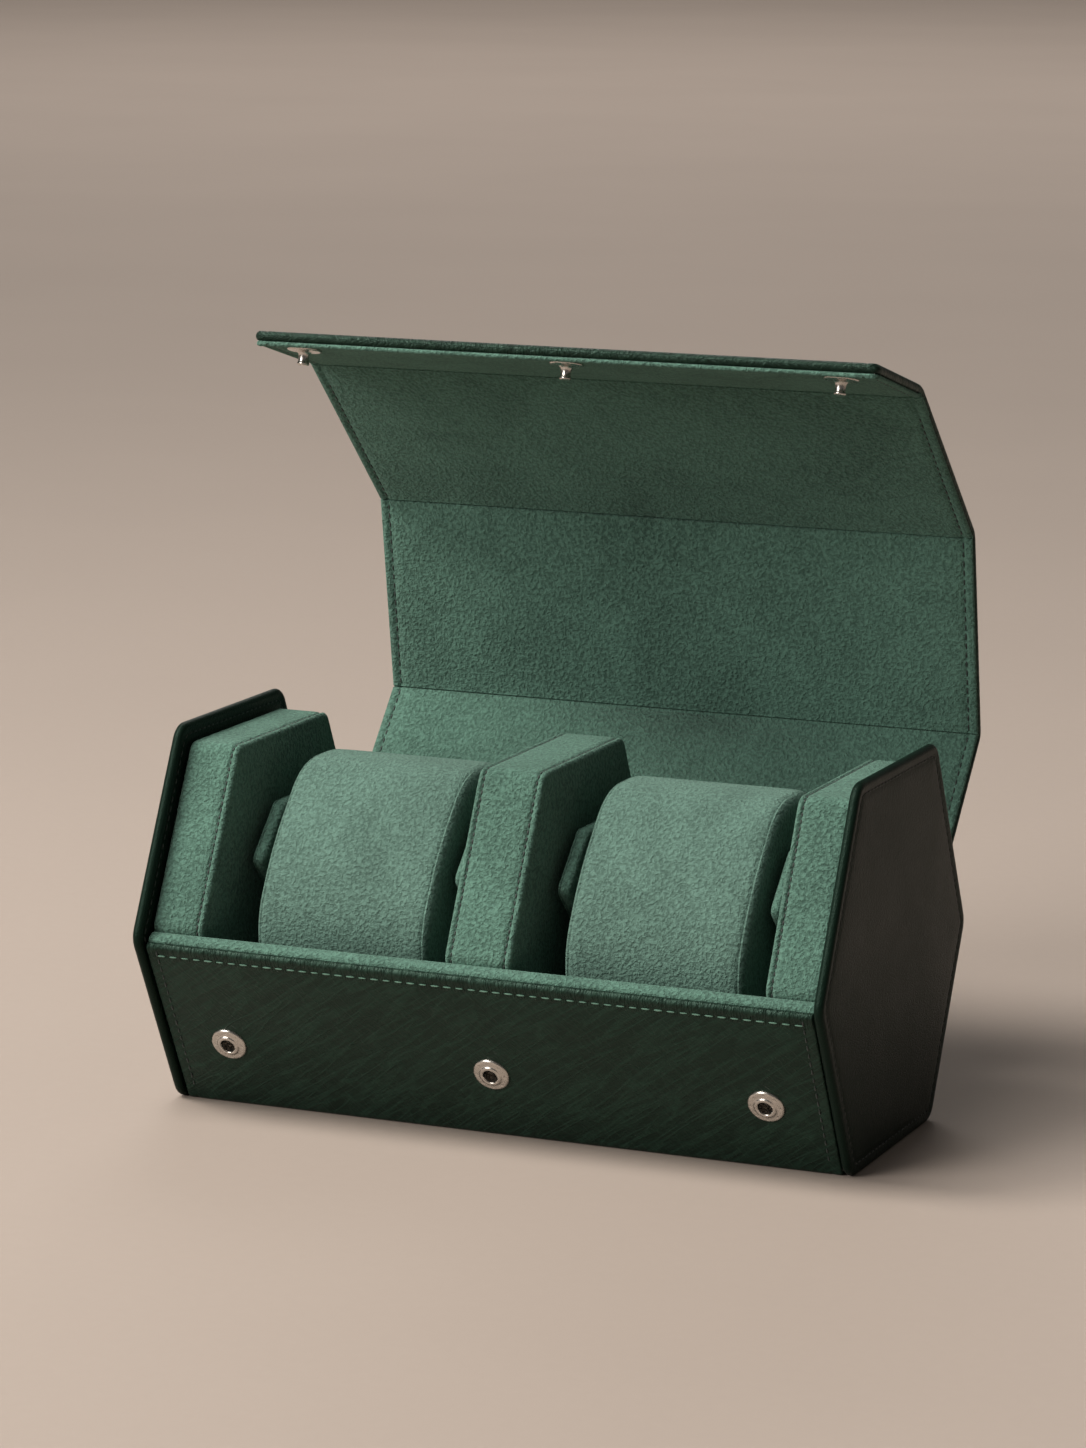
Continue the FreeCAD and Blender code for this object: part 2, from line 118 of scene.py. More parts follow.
class WatchCaseSizes(bpy.types.PropertyGroup):
    """Lengths of the case, its padding and its lid"""
    base_width: length("Base width", "Depth of the section at the table", 63.0)
    middle_width: length("Middle width", "Depth of the section at its widest", 114.0)
    top_width: length("Top width", "Depth of the section at the top", 61.0)
    middle_height: length("Middle height", "Height of the widest line", 49.5)
    case_height: length("Case height", "Height of the end panels", reach("end_cover_right", 2))
    half_length: length("Half length", "From the middle to the outside of an end panel",
                        reach("end_cover_right", 0))
    panel_thickness: length("End panel", "Thickness of an end panel", 3.0)
    corner_radius: length("Section corner", "Corner radius of the end panels", 6.0)
    wrap_half: length("Wrap half width", "From the middle to the side edge of the wrap",
                      reach("wrap_cover", 0))
    rim_proud: length("Rim", "How far the end panels stand proud of the walls", 1.2)
    leather: length("Leather", "Thickness of the leather", 1.2)
    lining: length("Lining", "Thickness of the suede", 0.8)
    wall_board: length("Wall board", "Thickness of the boards in base and back", 2.0)
    front_board: length("Front board", "Thickness of the board in the front wall", 3.4)
    lid_board: length("Lid board", "Thickness of the boards in the lid", 1.5)
    wall_drop: length("Front wall drop", "From the widest line down to the top of the front wall", 2.8)
    base_fold: length("Base fold", "Radius of the wrap where it turns under the case", 2.0)
    pad_inset: length("Pad inset", "From the section to the upper sides of the pads", 5.0)
    pad_corner: length("Pad corner", "Corner radius of pads and divider", 4.0)
    pad_face: length("Pad face", "From the middle to the inner face of an end pad",
                     -reach("end_pad_cover_left", 0))
    divider_half: length("Divider half", "Half of the divider's thickness", reach("divider_cover", 0))
    soft_gap: length("Soft gap", "Air between padding and walls", 0.2)
    pillow_half: length("Pillow half length", "Half of a pillow's length", PILLOW_SPAN[0])
    pillow_centre: length("Pillow centre", "From the middle of the case to the middle of a pillow",
                          PILLOW_SPAN[1])
    pillow_top: length("Pillow top", "Height of the pillows before their top is rounded",
                       reach("pillow_cover_right", 2))
    lid_half: length("Lid half width", "From the middle to the side edge of the lid",
                     reach("lid_top_cover", 0))
    lining_half: length("Lid lining half", "From the middle to the side edge of the lid's lining", 88.8)
    fold_lap: length("Fold lap", "Leather that bends on each side of a crease", 2.2)
    snap_height: length("Snap height", "From the base up the front wall to the press studs", 20.9)
    snap_spacing: length("Snap spacing", "Between neighbouring press studs", 76.7)
    flap_margin: length("Flap margin", "From the press studs to the free edge of the flap", 7.4)
    flap_corner: length("Flap corner", "Corner radius of the flap", 2.5)


class WatchCaseStitching(bpy.types.PropertyGroup):
    """Thread and seams"""
    pitch: length("Pitch", "From one light stitch to the next", 3.45)
    stitch: length("Stitch", "Length of a light stitch", 2.4)
    fine_pitch: length("Fine pitch", "From one dark stitch to the next", 2.6)
    fine_stitch: length("Fine stitch", "Length of a dark stitch", 1.8)
    seam_pitch: length("Seam pitch", "From one stitch to the next in the seams of the pads", 1.9)
    seam_stitch: length("Seam stitch", "Length of a stitch in the seams of the pads", 1.25)
    thread: length("Thread", "Thickness of the thread", 0.5)
    margin: length("Margin", "From an edge to its row of stitches", 3.2)
    seed: IntProperty(name="Seed", description="Start of the small differences between stitches", default=7)


class WatchCaseFinishes(bpy.types.PropertyGroup):
    """Colours of hide, suede, thread and metal"""
    hide: colour("Hide", "Green leather", (0.0040, 0.0098, 0.0066))
    suede: colour("Suede", "Lining, pads and divider", (0.070, 0.138, 0.108))
    pillow: colour("Pillow suede", "Watch pillows", (0.080, 0.142, 0.116))
    # Pillow suede is the lining's suede made a little lighter: painted light, standing in for the light that falls
    # on the pillows.
    light_thread: colour("Light thread", "Top of the front wall", (0.10, 0.22, 0.16))
    dark_thread: colour("Dark thread", "All other seams", (0.006, 0.013, 0.010))
    steel: colour("Steel", "Press studs", (0.56, 0.53, 0.49))
    floor: colour("Floor", "Pale floor", (0.33, 0.276, 0.240))


class WatchCaseStage(bpy.types.PropertyGroup):
    """Camera and light"""
    azimuth: angle("Azimuth", "Turn of the camera to the right", 23.168)
    elevation: angle("Elevation", "Camera above the horizon", 10.858)
    roll: angle("Roll", "Tilt of the picture", 0.286)
    distance: length("Distance", "From the camera to its target", 1301.945)
    lens: FloatProperty(name="Lens", description="Focal length in millimetres", default=121.885,
                        subtype="DISTANCE_CAMERA")
    target: FloatVectorProperty(name="Target", description="Point that the camera looks at",
                                default=(-0.002529, -0.001080, 0.105384), subtype="XYZ", unit="LENGTH",
                                precision=4)
    key_power: power("Key light", "Power of the large light on the left", 30)
    fill_power: power("Fill light", "Power of the soft light above", 17)
    room_power: FloatProperty(name="Room light", description="Strength of the even light from the front left",
                              default=2.25, min=0)
    back_power: power("Back light", "Power of the light over the far floor", 92)
    ambient: FloatProperty(name="Ambient", description="Strength of the surrounding light", default=0.12,
                           min=0)


def sizes_of(context):
    """Lengths in millimetres, by name."""
    group = context.scene.watch_case_sizes
    return SimpleNamespace(**{name: getattr(group, name) / MM for name in WatchCaseSizes.__annotations__})


def stitching_of(context):
    """Stitch lengths in millimetres, by name."""
    group = context.scene.watch_case_stitching
    names = [name for name in WatchCaseStitching.__annotations__ if name != "seed"]
    return SimpleNamespace(seed=group.seed, **{name: getattr(group, name) / MM for name in names})


# Section of the case: millimetres, y to the back and z up

def unit(vector):
    vector = np.asarray(vector, float)
    return vector / np.linalg.norm(vector)


def inward(along):
    """Normal on the inner side of a line that runs round the section."""
    return np.array([-along[1], along[0]])


def turned_by(vector, angle):
    c, s = math.cos(angle), math.sin(angle)
    return np.array([c * vector[0] - s * vector[1], s * vector[0] + c * vector[1]])


def bearing(vector):
    return math.atan2(vector[1], vector[0])


def cross_point(line, other):
    """Point where two lines meet; a line is a point and a direction."""
    (point, along), (base, way) = line, other
    gap = base - point
    share = (gap[0] * way[1] - gap[1] * way[0]) / (along[0] * way[1] - along[1] * way[0])
    return point + along * share


def drawn_in(corners, inset):
    """Corners of a closed line whose sides are all moved inwards."""
    lines = []
    for i, point in enumerate(corners):
        along = unit(corners[(i + 1) % len(corners)] - point)
        lines.append((point + inward(along) * inset, along))
    return [cross_point(lines[i - 1], lines[i]) for i in range(len(corners))]


SIDES = {
    "base": (0, 1), "back_lower": (1, 2), "back_upper": (2, 3),
    "top": (3, 4), "front_upper": (4, 5), "front_lower": (5, 0),
}


class Section:
    """The six sides of the case's section."""

    def __init__(self, s):
        right = [(s.base_width / 2, 0), (s.middle_width / 2, s.middle_height),
                 (s.top_width / 2, s.case_height)]
        left = [(-y, z) for y, z in right]
        self.corners = [np.array(pair) for pair in (left[0], *right, left[2], left[1])]

    def along(self, side):
        first, last = SIDES[side]
        return unit(self.corners[last] - self.corners[first])

    def line(self, side, inset):
        along = self.along(side)
        return self.corners[SIDES[side][0]] + inward(along) * inset, along

    def ring(self, insets):
        """Six corners of the section, each side moved in by its inset."""
        lines = [self.line(name, insets[name]) for name in SIDES]
        return [cross_point(lines[i - 1], lines[i]) for i in range(len(lines))]

    def evenly(self, inset):
        return self.ring({name: inset for name in SIDES})


def outline(corners, radii, steps=8, cuts=6):
    """Closed line through rounded corners, with the same count of points whatever the radii."""
    arcs = []
    for place, corner in enumerate(corners):
        back = unit(corners[place - 1] - corner)
        ahead = unit(corners[(place + 1) % len(corners)] - corner)
        half = math.acos(float(np.clip(back @ ahead, -1, 1))) / 2
        radius = radii[place]
        centre = corner + unit(back + ahead) * radius / math.sin(half)
        spoke = corner + back * radius / math.tan(half) - centre
        sense = 1 if back[0] * ahead[1] - back[1] * ahead[0] < 0 else -1
        sweep = sense * (math.pi - 2 * half)
        arcs.append([centre + turned_by(spoke, sweep * k / steps) for k in range(steps + 1)])
    points = []
    for place, arc in enumerate(arcs):
        points += arc
        end, start = arc[-1], arcs[(place + 1) % len(arcs)][0]
        points += [end + (start - end) * k / (cuts + 1) for k in range(1, cuts + 1)]
    return np.array(points)


def filleted(points, radii, steps=5):
    """Open line through the points, with rounded corners between the first and the last."""
    made = [np.asarray(points[0], float)]
    for before, corner, after, radius in zip(points, points[1:], points[2:], radii):
        corner = np.asarray(corner, float)
        back, ahead = unit(np.asarray(before) - corner), unit(np.asarray(after) - corner)
        half = math.acos(float(np.clip(back @ ahead, -1, 1))) / 2
        cut = radius / math.tan(half)
        for k in range(steps + 1):
            t = k / steps
            made.append(corner + back * cut * (1 - t) ** 2 + ahead * cut * t ** 2)
    made.append(np.asarray(points[-1], float))
    return made


# Meshes

def new_piece(name, verts, faces, uvs=None, material=None):
    """Object at the origin from millimetre points, with smooth outward faces."""
    mesh = bpy.data.meshes.new(name)
    mesh.from_pydata([tuple(v) for v in np.asarray(verts, float) * MM], [], faces)
    if uvs is not None:
        layer = mesh.uv_layers.new(name="UVMap")
        layer.data.foreach_set("uv", (np.asarray(uvs, np.float32) * MM).ravel())
    tidy = bmesh.new()
    tidy.from_mesh(mesh)
    bmesh.ops.recalc_face_normals(tidy, faces=tidy.faces)
    tidy.to_mesh(mesh)
    tidy.free()
    mesh.shade_smooth()
    mesh.set_sharp_from_angle(angle=SHARP)
    piece = bpy.data.objects.new(name, mesh)
    bpy.context.scene.collection.objects.link(piece)
    if material:
        mesh.materials.append(material)
    return piece


def skin(rings, along=0.0, first=0):
    """Closed skin over rings of points: its points, faces and map, with the map in millimetres."""
    rings = np.asarray(rings, float)
    count, around = rings.shape[:2]
    middle = rings[count // 2]
    girth = np.concatenate([[0], np.cumsum(np.linalg.norm(np.roll(middle, -1, 0) - middle, axis=1))])
    girth -= girth[-1] / 2
    steps = np.linalg.norm(np.diff(rings, axis=0), axis=2).mean(1)
    run = along + np.concatenate([[0], np.cumsum(steps)])
    faces, uvs = [], []
    for i in range(count - 1):
        for j in range(around):
            k = (j + 1) % around
            faces.append([first + i * around + j, first + i * around + k,
                          first + (i + 1) * around + k, first + (i + 1) * around + j])
            uvs += [(girth[j], run[i]), (girth[j + 1], run[i]),
                    (girth[j + 1], run[i + 1]), (girth[j], run[i + 1])]
    for i in (0, count - 1):
        faces.append([first + i * around + j for j in range(around)])
        uvs += [(girth[j], run[i]) for j in range(around)]
    return rings.reshape(-1, 3), faces, uvs


def skinned(name, groups, material, along=0.0):
    """One piece from several closed skins."""
    verts, faces, uvs = [], [], []
    for rings in groups:
        points, more, coords = skin(rings, along, sum(len(v) for v in verts))
        verts.append(points)
        faces += more
        uvs += coords
    return new_piece(name, np.concatenate(verts), faces, uvs, material)


def at_x(points, x):
    """Section points as points of the case."""
    points = np.asarray(points, float)
    return np.column_stack([np.full(len(points), x), points])


Station = namedtuple("Station", "place normal widen thin middle filled", defaults=(1.0, 1.0, 0.0, False))
# A loop is the cross-section of a sheet: x, distance outwards and whether the point lies in its hollow.
Loop = namedtuple("Loop", "x d hollow")


def swept(stations, loop):
    """Rings of a sheet that follows a path of the section."""
    rings = []
    for station in stations:
        d = station.middle + (loop.d - station.middle) * station.thin
        if station.filled:
            d = np.where(loop.hollow, d[~loop.hollow].min(), d)
        y, z = (station.place[i] + d * station.normal[i] for i in (0, 1))
        rings.append(np.column_stack([loop.x * station.widen, y, z]))
    return rings


def straight(start, end, normal, cuts=4):
    """Stations on a straight run."""
    return [Station(start + (end - start) * k / cuts, normal) for k in range(cuts + 1)]


def both_sides(right):
    """Loop from its right half, which runs from the middle of the outer face to that of the inner one."""
    x, d, hollow = zip(*right, *[(-x, d, h) for x, d, h in right[::-1]])
    return Loop(np.array(x), np.array(d), np.array(hollow, bool))


def half_round(x, low, high, steps=8):
    """Right edge of a sheet, from its outer face round to its inner one; x is its furthest place."""
    radius, middle = (high - low) / 2, (high + low) / 2
    angles = [math.pi / 2 - math.pi * k / steps for k in range(steps + 1)]
    return [(x - radius + radius * math.cos(a), middle + radius * math.sin(a), 0) for a in angles]


# Finishes

class Finish:
    """A material and its nodes."""

    def __init__(self, name):
        self.material = bpy.data.materials.new(name)
        self.material.use_nodes = True
        self.tree = self.material.node_tree
        self.shader = self.tree.nodes["Principled BSDF"]

    def add(self, kind, *wires, **settings):
        """New node; each wire is an input's name or place and a socket or value for it."""
        node = self.tree.nodes.new(kind)
        for name, value in settings.items():
            setattr(node, name, value)
        for key, value in wires:
            self.set(node, key, value)
        return node

    def set(self, node, key, value):
        socket = node.inputs[key]
        if isinstance(value, bpy.types.NodeSocket):
            self.tree.links.new(value, socket)
        else:
            socket.default_value = value

    def base(self, **values):
        """Plain numbers of the shader."""
        for key, value in values.items():
            self.shader.inputs[key.replace("_", " ").title().replace("Ior", "IOR")].default_value = value

    def coords(self, kind, turn=0.0, stretch=1.0):
        """Coordinates whose pattern is stretched along a direction."""
        source = self.add("ShaderNodeTexCoord").outputs[kind]
        return self.add("ShaderNodeMapping", ("Vector", source), ("Rotation", (0, 0, turn)),
                        ("Scale", (stretch, 1, 1)), vector_type="TEXTURE").outputs[0]

    def noise(self, vector, scale, detail=3.0, rough=0.55, distortion=0.0):
        node = self.add("ShaderNodeTexNoise", ("Vector", vector), ("Scale", scale), ("Detail", detail),
                        ("Roughness", rough), ("Distortion", distortion))
        return node.outputs[0]

    def cells(self, vector, scale, feature="F1"):
        node = self.add("ShaderNodeTexVoronoi", ("Vector", vector), ("Scale", scale), feature=feature)
        return node.outputs["Distance"]

    def maths(self, operation, a, b=0.0):
        return self.add("ShaderNodeMath", (0, a), (1, b), operation=operation).outputs[0]

    def mixed(self, *parts):
        """Sum of values, each times its weight."""
        total = None
        for value, weight in parts:
            part = self.maths("MULTIPLY", value, weight)
            total = part if total is None else self.maths("ADD", total, part)
        return total

    def spread(self, value, low, high, to_low, to_high):
        return self.add("ShaderNodeMapRange", ("Value", value), ("From Min", low), ("From Max", high),
                        ("To Min", to_low), ("To Max", to_high)).outputs[0]

    def ridge(self, value, sharpness):
        """Thin lines where a noise crosses its middle."""
        away = self.maths("ABSOLUTE", self.maths("SUBTRACT", value, 0.5))
        return self.spread(away, 0.0, sharpness, 1.0, 0.0)

    def tint(self, value, dark, light):
        mix = self.add("ShaderNodeMix", ("Factor", value), data_type="RGBA", clamp_factor=True)
        for key, shade in ((6, dark), (7, light)):
            mix.inputs[key].default_value = (*shade, 1)
        self.set(self.shader, "Base Color", mix.outputs[2])

    def rough(self, value, low, high):
        self.set(self.shader, "Roughness", self.spread(value, 0.25, 0.75, low, high))

    def relief(self, *layers):
        """Bumps one on another: each layer is a height, its strength and its depth in millimetres."""
        normal = None
        for height, strength, depth in layers:
            wires = [("Height", height), ("Strength", strength), ("Distance", depth * MM)]
            if normal is not None:
                wires.append(("Normal", normal))
            normal = self.add("ShaderNodeBump", *wires).outputs[0]
        self.set(self.shader, "Normal", normal)


def shade(value, factor):
    return tuple(min(1.0, v * factor) for v in value)


SHEEN_GREEN = (0.5, 0.85, 0.68, 1)
FLAP_EDGE = 600.0  # place of the flap's free edge on the leather's map
# Lines of the grain: turn, stretch, scale, thinness and weight.
GRAIN = ((-38, 9, 300, 0.075, 0.55), (-33, 6, 640, 0.09, 0.3), (47, 5, 540, 0.06, 0.35))


def cross_grained_hide(name, tone):
    """Leather pressed with broken slanting lines, mapped along the sheet."""
    f = Finish(name)
    layers = []
    for turn, stretch, scale, thin, weight in GRAIN:
        grain = f.noise(f.coords("UV", math.radians(turn), stretch), scale, 1.5, 0.5, 0.25)
        layers.append((f.ridge(grain, thin), weight))
    lines = f.mixed(*layers)
    flat = f.coords("Object")
    patches = f.noise(flat, 60, 3)
    pores = f.noise(flat, 2600, 2)
    across = f.add("ShaderNodeSeparateXYZ", ("Vector", f.coords("UV"))).outputs[1]
    edge = FLAP_EDGE * MM
    rolled = f.maths("ADD", f.spread(across, 0.0058, 0.0066, 1.0, 0.0),
                     f.spread(across, edge - 0.0022, edge - 0.0014, 0.0, 1.0))
    folds = f.noise(f.coords("UV", math.radians(90), 9), 1500, 1)
    creases = f.maths("MULTIPLY", f.spread(folds, 0.42, 0.58, 0.0, 1.0), rolled)
    f.tint(f.mixed((lines, 0.7), (patches, 0.3)), shade(tone, 0.6), shade(tone, 3.0))
    f.rough(f.mixed((lines, 0.3), (patches, 0.6)), 0.42, 0.56)
    f.relief((lines, 0.6, 0.3), (pores, 0.3, 0.12), (creases, 0.8, 0.3))
    f.base(specular_ior_level=0.34)
    f.shader.inputs["Specular Tint"].default_value = SHEEN_GREEN
    return f.material


def pebbled_hide(name, tone):
    """Smooth leather with a fine pebble."""
    f = Finish(name)
    flat = f.coords("Object")
    warped = f.add("ShaderNodeVectorMath", (0, flat), (1, f.add(
        "ShaderNodeVectorMath", (0, f.noise(flat, 500, 2)), (1, (0.0006, 0.0006, 0.0006)),
        operation="MULTIPLY").outputs[0]), operation="ADD").outputs[0]
    pebble = f.cells(warped, 1250, "DISTANCE_TO_EDGE")
    patches = f.noise(flat, 45, 3)
    f.tint(patches, shade(tone, 0.88), shade(tone, 1.18))
    f.rough(patches, 0.34, 0.42)
    f.relief((f.spread(pebble, 0.0, 0.22, 0.0, 1.0), 0.3, 0.2), (f.noise(flat, 3600, 3), 0.15, 0.1))
    f.base(specular_ior_level=0.11)
    f.shader.inputs["Specular Tint"].default_value = SHEEN_GREEN
    return f.material


def suede(name, tone, contrast=1.0):
    """Short brushed nap: crumbs of about a millimetre, finer fibres, and patches that lie another way."""
    f = Finish(name)
    flat = f.coords("Object")
    patches = f.noise(flat, 30, 4, 0.6, 0.8)
    crumbs = f.spread(f.noise(flat, 1050, 1.5, 0.5, 0.35), 0.34, 0.66, 0.0, 1.0)
    fibres = f.noise(flat, 2300, 3, 0.65)
    mixed = f.mixed((patches, 0.6), (crumbs, 0.34), (fibres, 0.5))
    f.tint(f.spread(mixed, 0.72 - 0.32, 0.72 + 0.32, 0.0, 1.0),
           shade(tone, 1 - 0.5 * contrast), shade(tone, 1 + 0.5 * contrast))
    f.relief((crumbs, 0.9, 0.34), (fibres, 0.9, 0.3))
    f.base(roughness=0.95, specular_ior_level=0.08, sheen_weight=0.2, sheen_roughness=0.45)
    f.shader.inputs["Sheen Tint"].default_value = (0.55, 0.8, 0.68, 1)
    return f.material


def thread(name, tone):
    """Waxed sewing thread."""
    f = Finish(name)
    fibres = f.noise(f.coords("Object"), 5200, 2)
    f.tint(fibres, shade(tone, 0.7), shade(tone, 1.35))
    f.relief((fibres, 0.4, 0.1))
    f.base(roughness=0.6, sheen_weight=0.2)
    return f.material


def polished_steel(name, tone, rough):
    """Plated metal with faint rubbing marks."""
    f = Finish(name)
    flat = f.coords("Object")
    marks = f.noise(flat, 2600, 4, 0.65)
    patches = f.noise(flat, 420, 2)
    f.tint(patches, shade(tone, 0.82), shade(tone, 1.12))
    f.rough(marks, rough * 0.75, rough * 1.4)
    f.relief((marks, 0.08, 0.05))
    f.base(metallic=1.0)
    return f.material


def pressed_board(name):
    f = Finish(name)
    flat = f.coords("Object")
    fibre = f.noise(flat, 380, 5, 0.7, 0.4)
    f.tint(fibre, (0.22, 0.21, 0.19), (0.46, 0.44, 0.4))
    f.relief((fibre, 0.4, 0.3))
    f.base(roughness=0.9)
    return f.material


def open_foam(name):
    f = Finish(name)
    bubbles = f.cells(f.coords("Object"), 1100)
    f.tint(bubbles, (0.5, 0.49, 0.45), (0.84, 0.82, 0.77))
    f.relief((bubbles, 0.7, 0.5))
    f.base(roughness=0.95)
    return f.material


FINISHES = {}


def finish(context, name):
    """A named finish, made once."""
    if name not in FINISHES:
        colours = context.scene.watch_case_finishes
        c = {key: tuple(getattr(colours, key)) for key in WatchCaseFinishes.__annotations__}
        makers = {
            "cross_grained_hide": lambda: cross_grained_hide("cross_grained_hide", c["hide"]),
            "pebbled_hide": lambda: pebbled_hide("pebbled_hide", c["hide"]),
            "lining_suede": lambda: suede("lining_suede", c["suede"]),
            # The pillows get the lining's suede a little lighter: painted light on the pillows.
            "pillow_suede": lambda: suede("pillow_nap", c["pillow"], 0.9),
            "light_thread": lambda: thread("light_thread", c["light_thread"]),
            "dark_thread": lambda: thread("dark_thread", c["dark_thread"]),
            "steel": lambda: polished_steel("plated_steel", c["steel"], 0.24),
            "wire": lambda: polished_steel("spring_wire_steel", (0.5, 0.5, 0.5), 0.35),
            "board": lambda: pressed_board("pressed_board"),
            "foam": lambda: open_foam("open_foam"),
        }
        FINISHES[name] = makers[name]()
    return FINISHES[name]


# Padding

def puffed(piece, held, pressure, cap):
    """Swell a padded piece by a short cloth simulation; held lists the points that the seams hold."""
    rest = np.empty(len(piece.data.vertices) * 3, np.float32)
    piece.data.vertices.foreach_get("co", rest)
    group = piece.vertex_groups.new(name="held")
    group.add([int(i) for i in held], 1.0, "REPLACE")
    cloth = piece.modifiers.new("swell", "CLOTH")
    settings = cloth.settings
    settings.quality = 6
    settings.mass = 0.2
    settings.tension_stiffness = settings.compression_stiffness = 25
    settings.bending_stiffness = 2
    settings.vertex_group_mass = "held"
    settings.use_pressure = True
    settings.uniform_pressure_force = pressure
    settings.effector_weights.gravity = 0
    scene = bpy.context.scene
    for moment in range(1, 21):
        scene.frame_set(moment)
    swollen = piece.evaluated_get(bpy.context.evaluated_depsgraph_get()).to_mesh()
    moved = np.empty_like(rest)
    swollen.vertices.foreach_get("co", moved)
    piece.modifiers.remove(cloth)
    piece.vertex_groups.remove(group)
    scene.frame_set(1)
    shift = (moved - rest).reshape(-1, 3)
    size = np.linalg.norm(shift, axis=1, keepdims=True)
    shift *= np.minimum(1.0, cap * MM / np.maximum(size, 1e-12))
    piece.data.vertices.foreach_set("co", (rest.reshape(-1, 3) + shift).ravel())
    piece.data.update()


# Case

# End panel from the inner face round the rolled rim to the outer face: depth from the inside, and inset.
PANEL_INNER = [(0.30, 26), (0.30, 9), (0.28, 4.6), (0.34, 3.9), (0.52, 3.2), (0.34, 2.5), (0.24, 1.9)]
PANEL_OUTER = [(2.80, 1.9), (2.76, 2.5), (2.55, 3.2), (2.76, 3.9), (2.86, 5.2), (2.97, 9), (3.0, 18),
               (3.0, 26)]
PANEL_RIM = 1.36


class WATCHCASE_OT_end_panels(bpy.types.Operator):
    """Leather-covered end panels with a rolled rim and a sewn margin"""
    bl_idname = "watchcase.end_panels"
    bl_label = "End panels"

    def execute(self, context):
        s = sizes_of(context)
        section = Section(s)
        rim = []
        for k in range(13):
            a = math.pi * (k / 12 - 0.5)
            rim.append((1.5 + PANEL_RIM * math.sin(a), PANEL_RIM * (1 - math.cos(a))))
        inside = s.half_length - s.panel_thickness
        for name, sign in HANDS:
            rings = []
            for depth, inset in PANEL_INNER + rim + PANEL_OUTER:
                line = outline(section.evenly(inset), [max(s.corner_radius - inset * 0.8, 1.2)] * 6, 10, 6)
                rings.append(at_x(line, sign * (inside + depth)))
            piece = skinned("end_panel_leather_" + name, [rings], finish(context, "pebbled_hide"))
            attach(piece, "case")
            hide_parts("end_cover_" + name, "end_facing_" + name)
        return {"FINISHED"}


def front_top(section, s, raised):
    """Line along the top of the front wall, square to the wall."""
    along = section.along("front_lower")
    return section.corners[5] + along * (s.wall_drop - raised), inward(along)


BEAD = 1.25  # radius of the rolled top edge of the front wall
BACK_LAP = 0.65  # leather of the lid's hinge that stays on the back wall


def wall_path(section, s):
    """Outer face of the wrap: over the rolled top edge, down the front, under the base and up the back."""
    front, base, back = (section.line(*pair) for pair in
                         (("front_lower", s.rim_proud), ("base", 0), ("back_lower", s.rim_proud)))
    top = cross_point(front, front_top(section, s, 0))
    n_in, down = inward(front[1]), front[1]
    centre = top + down * BEAD + n_in * BEAD
    stations = []
    for k in range(15):
        a = math.radians(-50 + 230 * k / 14)
        out = n_in * math.cos(a) - down * math.sin(a)
        thick = min(1.0, 0.9 * BEAD / s.leather)
        stations.append(Station(centre + out * BEAD, out, thin=thick if a < 3 else 1.0))
    groove = 3.2
    for off, sink in ((-0.8, 0), (-0.4, 0.06), (0, 0.12), (0.4, 0.06), (0.8, 0)):
        stations.append(Station(top + down * (groove + off) + n_in * sink, -n_in))
    up = section.along("back_lower")
    hinge = hinge_places()[0] - up * BACK_LAP - inward(up) * (s.leather / 2)
    corners = [stations[-1].place, cross_point(front, base), cross_point(base, back), hinge]
    line = filleted(corners, [s.base_fold] * 2, 8)
    runs = []
    for i, point in enumerate(line):
        if i > 0:
            gap = point - line[i - 1]
            if np.linalg.norm(gap) > 8:
                runs += [line[i - 1] + gap * k / 5 for k in range(1, 5)]
        runs.append(point)
    for i in range(1, len(runs)):
        before = unit(runs[i] - runs[i - 1])
        after = unit(runs[i + 1] - runs[i]) if i + 1 < len(runs) else before
        stations.append(Station(runs[i], -inward(unit(before + after))))
    last = stations.pop()
    tip = last.place - stations[-1].place
    for k in range(1, 6):
        a = math.pi / 2 * k / 5
        back_by = s.leather / 2 * (1 - math.sin(a))
        stations.append(Station(last.place - unit(tip) * back_by, last.normal, thin=max(math.cos(a), 0.08),
                                middle=-s.leather / 2))
    return stations


def hinge_places():
    """Crease axes at rest, from the back of the case to the flap."""
    names = ("lid_hinge", "rear_crease", "front_crease", "flap_crease")
    return [np.array(JOINTS[name]["pos_m"][1:]) / MM for name in names]


def sheet_loop(half, low, high, grooves=()):
    """Cross-section of a plain sheet with round side edges; a groove is a place, a depth and half a width."""
    right = [(0, high, 0)]
    for place, depth, spread in sorted(grooves):
        right += [(place - spread, high, 0), (place - spread / 2, high - depth * 0.5, 0),
                  (place, high - depth, 0),
                  (place + spread / 2, high - depth * 0.5, 0), (place + spread, high, 0)]
    right += half_round(half, low, high)
    right.append((0, low, 0))
    return both_sides(right)


# Turned edge on the back wall: distance inwards from the crease, and along the wall.
BACK_CORNER = [
    (-0.6, -3.4), (-0.64, -1.6), (-0.6, -0.7), (-0.42, -0.3), (-0.1, -0.12), (0.4, -0.2), (1.5, -0.75),
    (2.6, -1.3), (3.2, -1.7), (3.48, -2.1), (3.52, -2.7), (3.4, -3.6),
]


HOLE = 2.5  # radius of the holes that take the barrels of the sockets


def snap_seat(section, s):
    """Middle of the row of press studs on the front wall, and the ways down the wall and out of it."""
    along = section.along("front_lower")
    out = outside(along)
    return section.corners[0] - along * s.snap_height - out * s.rim_proud, along, out


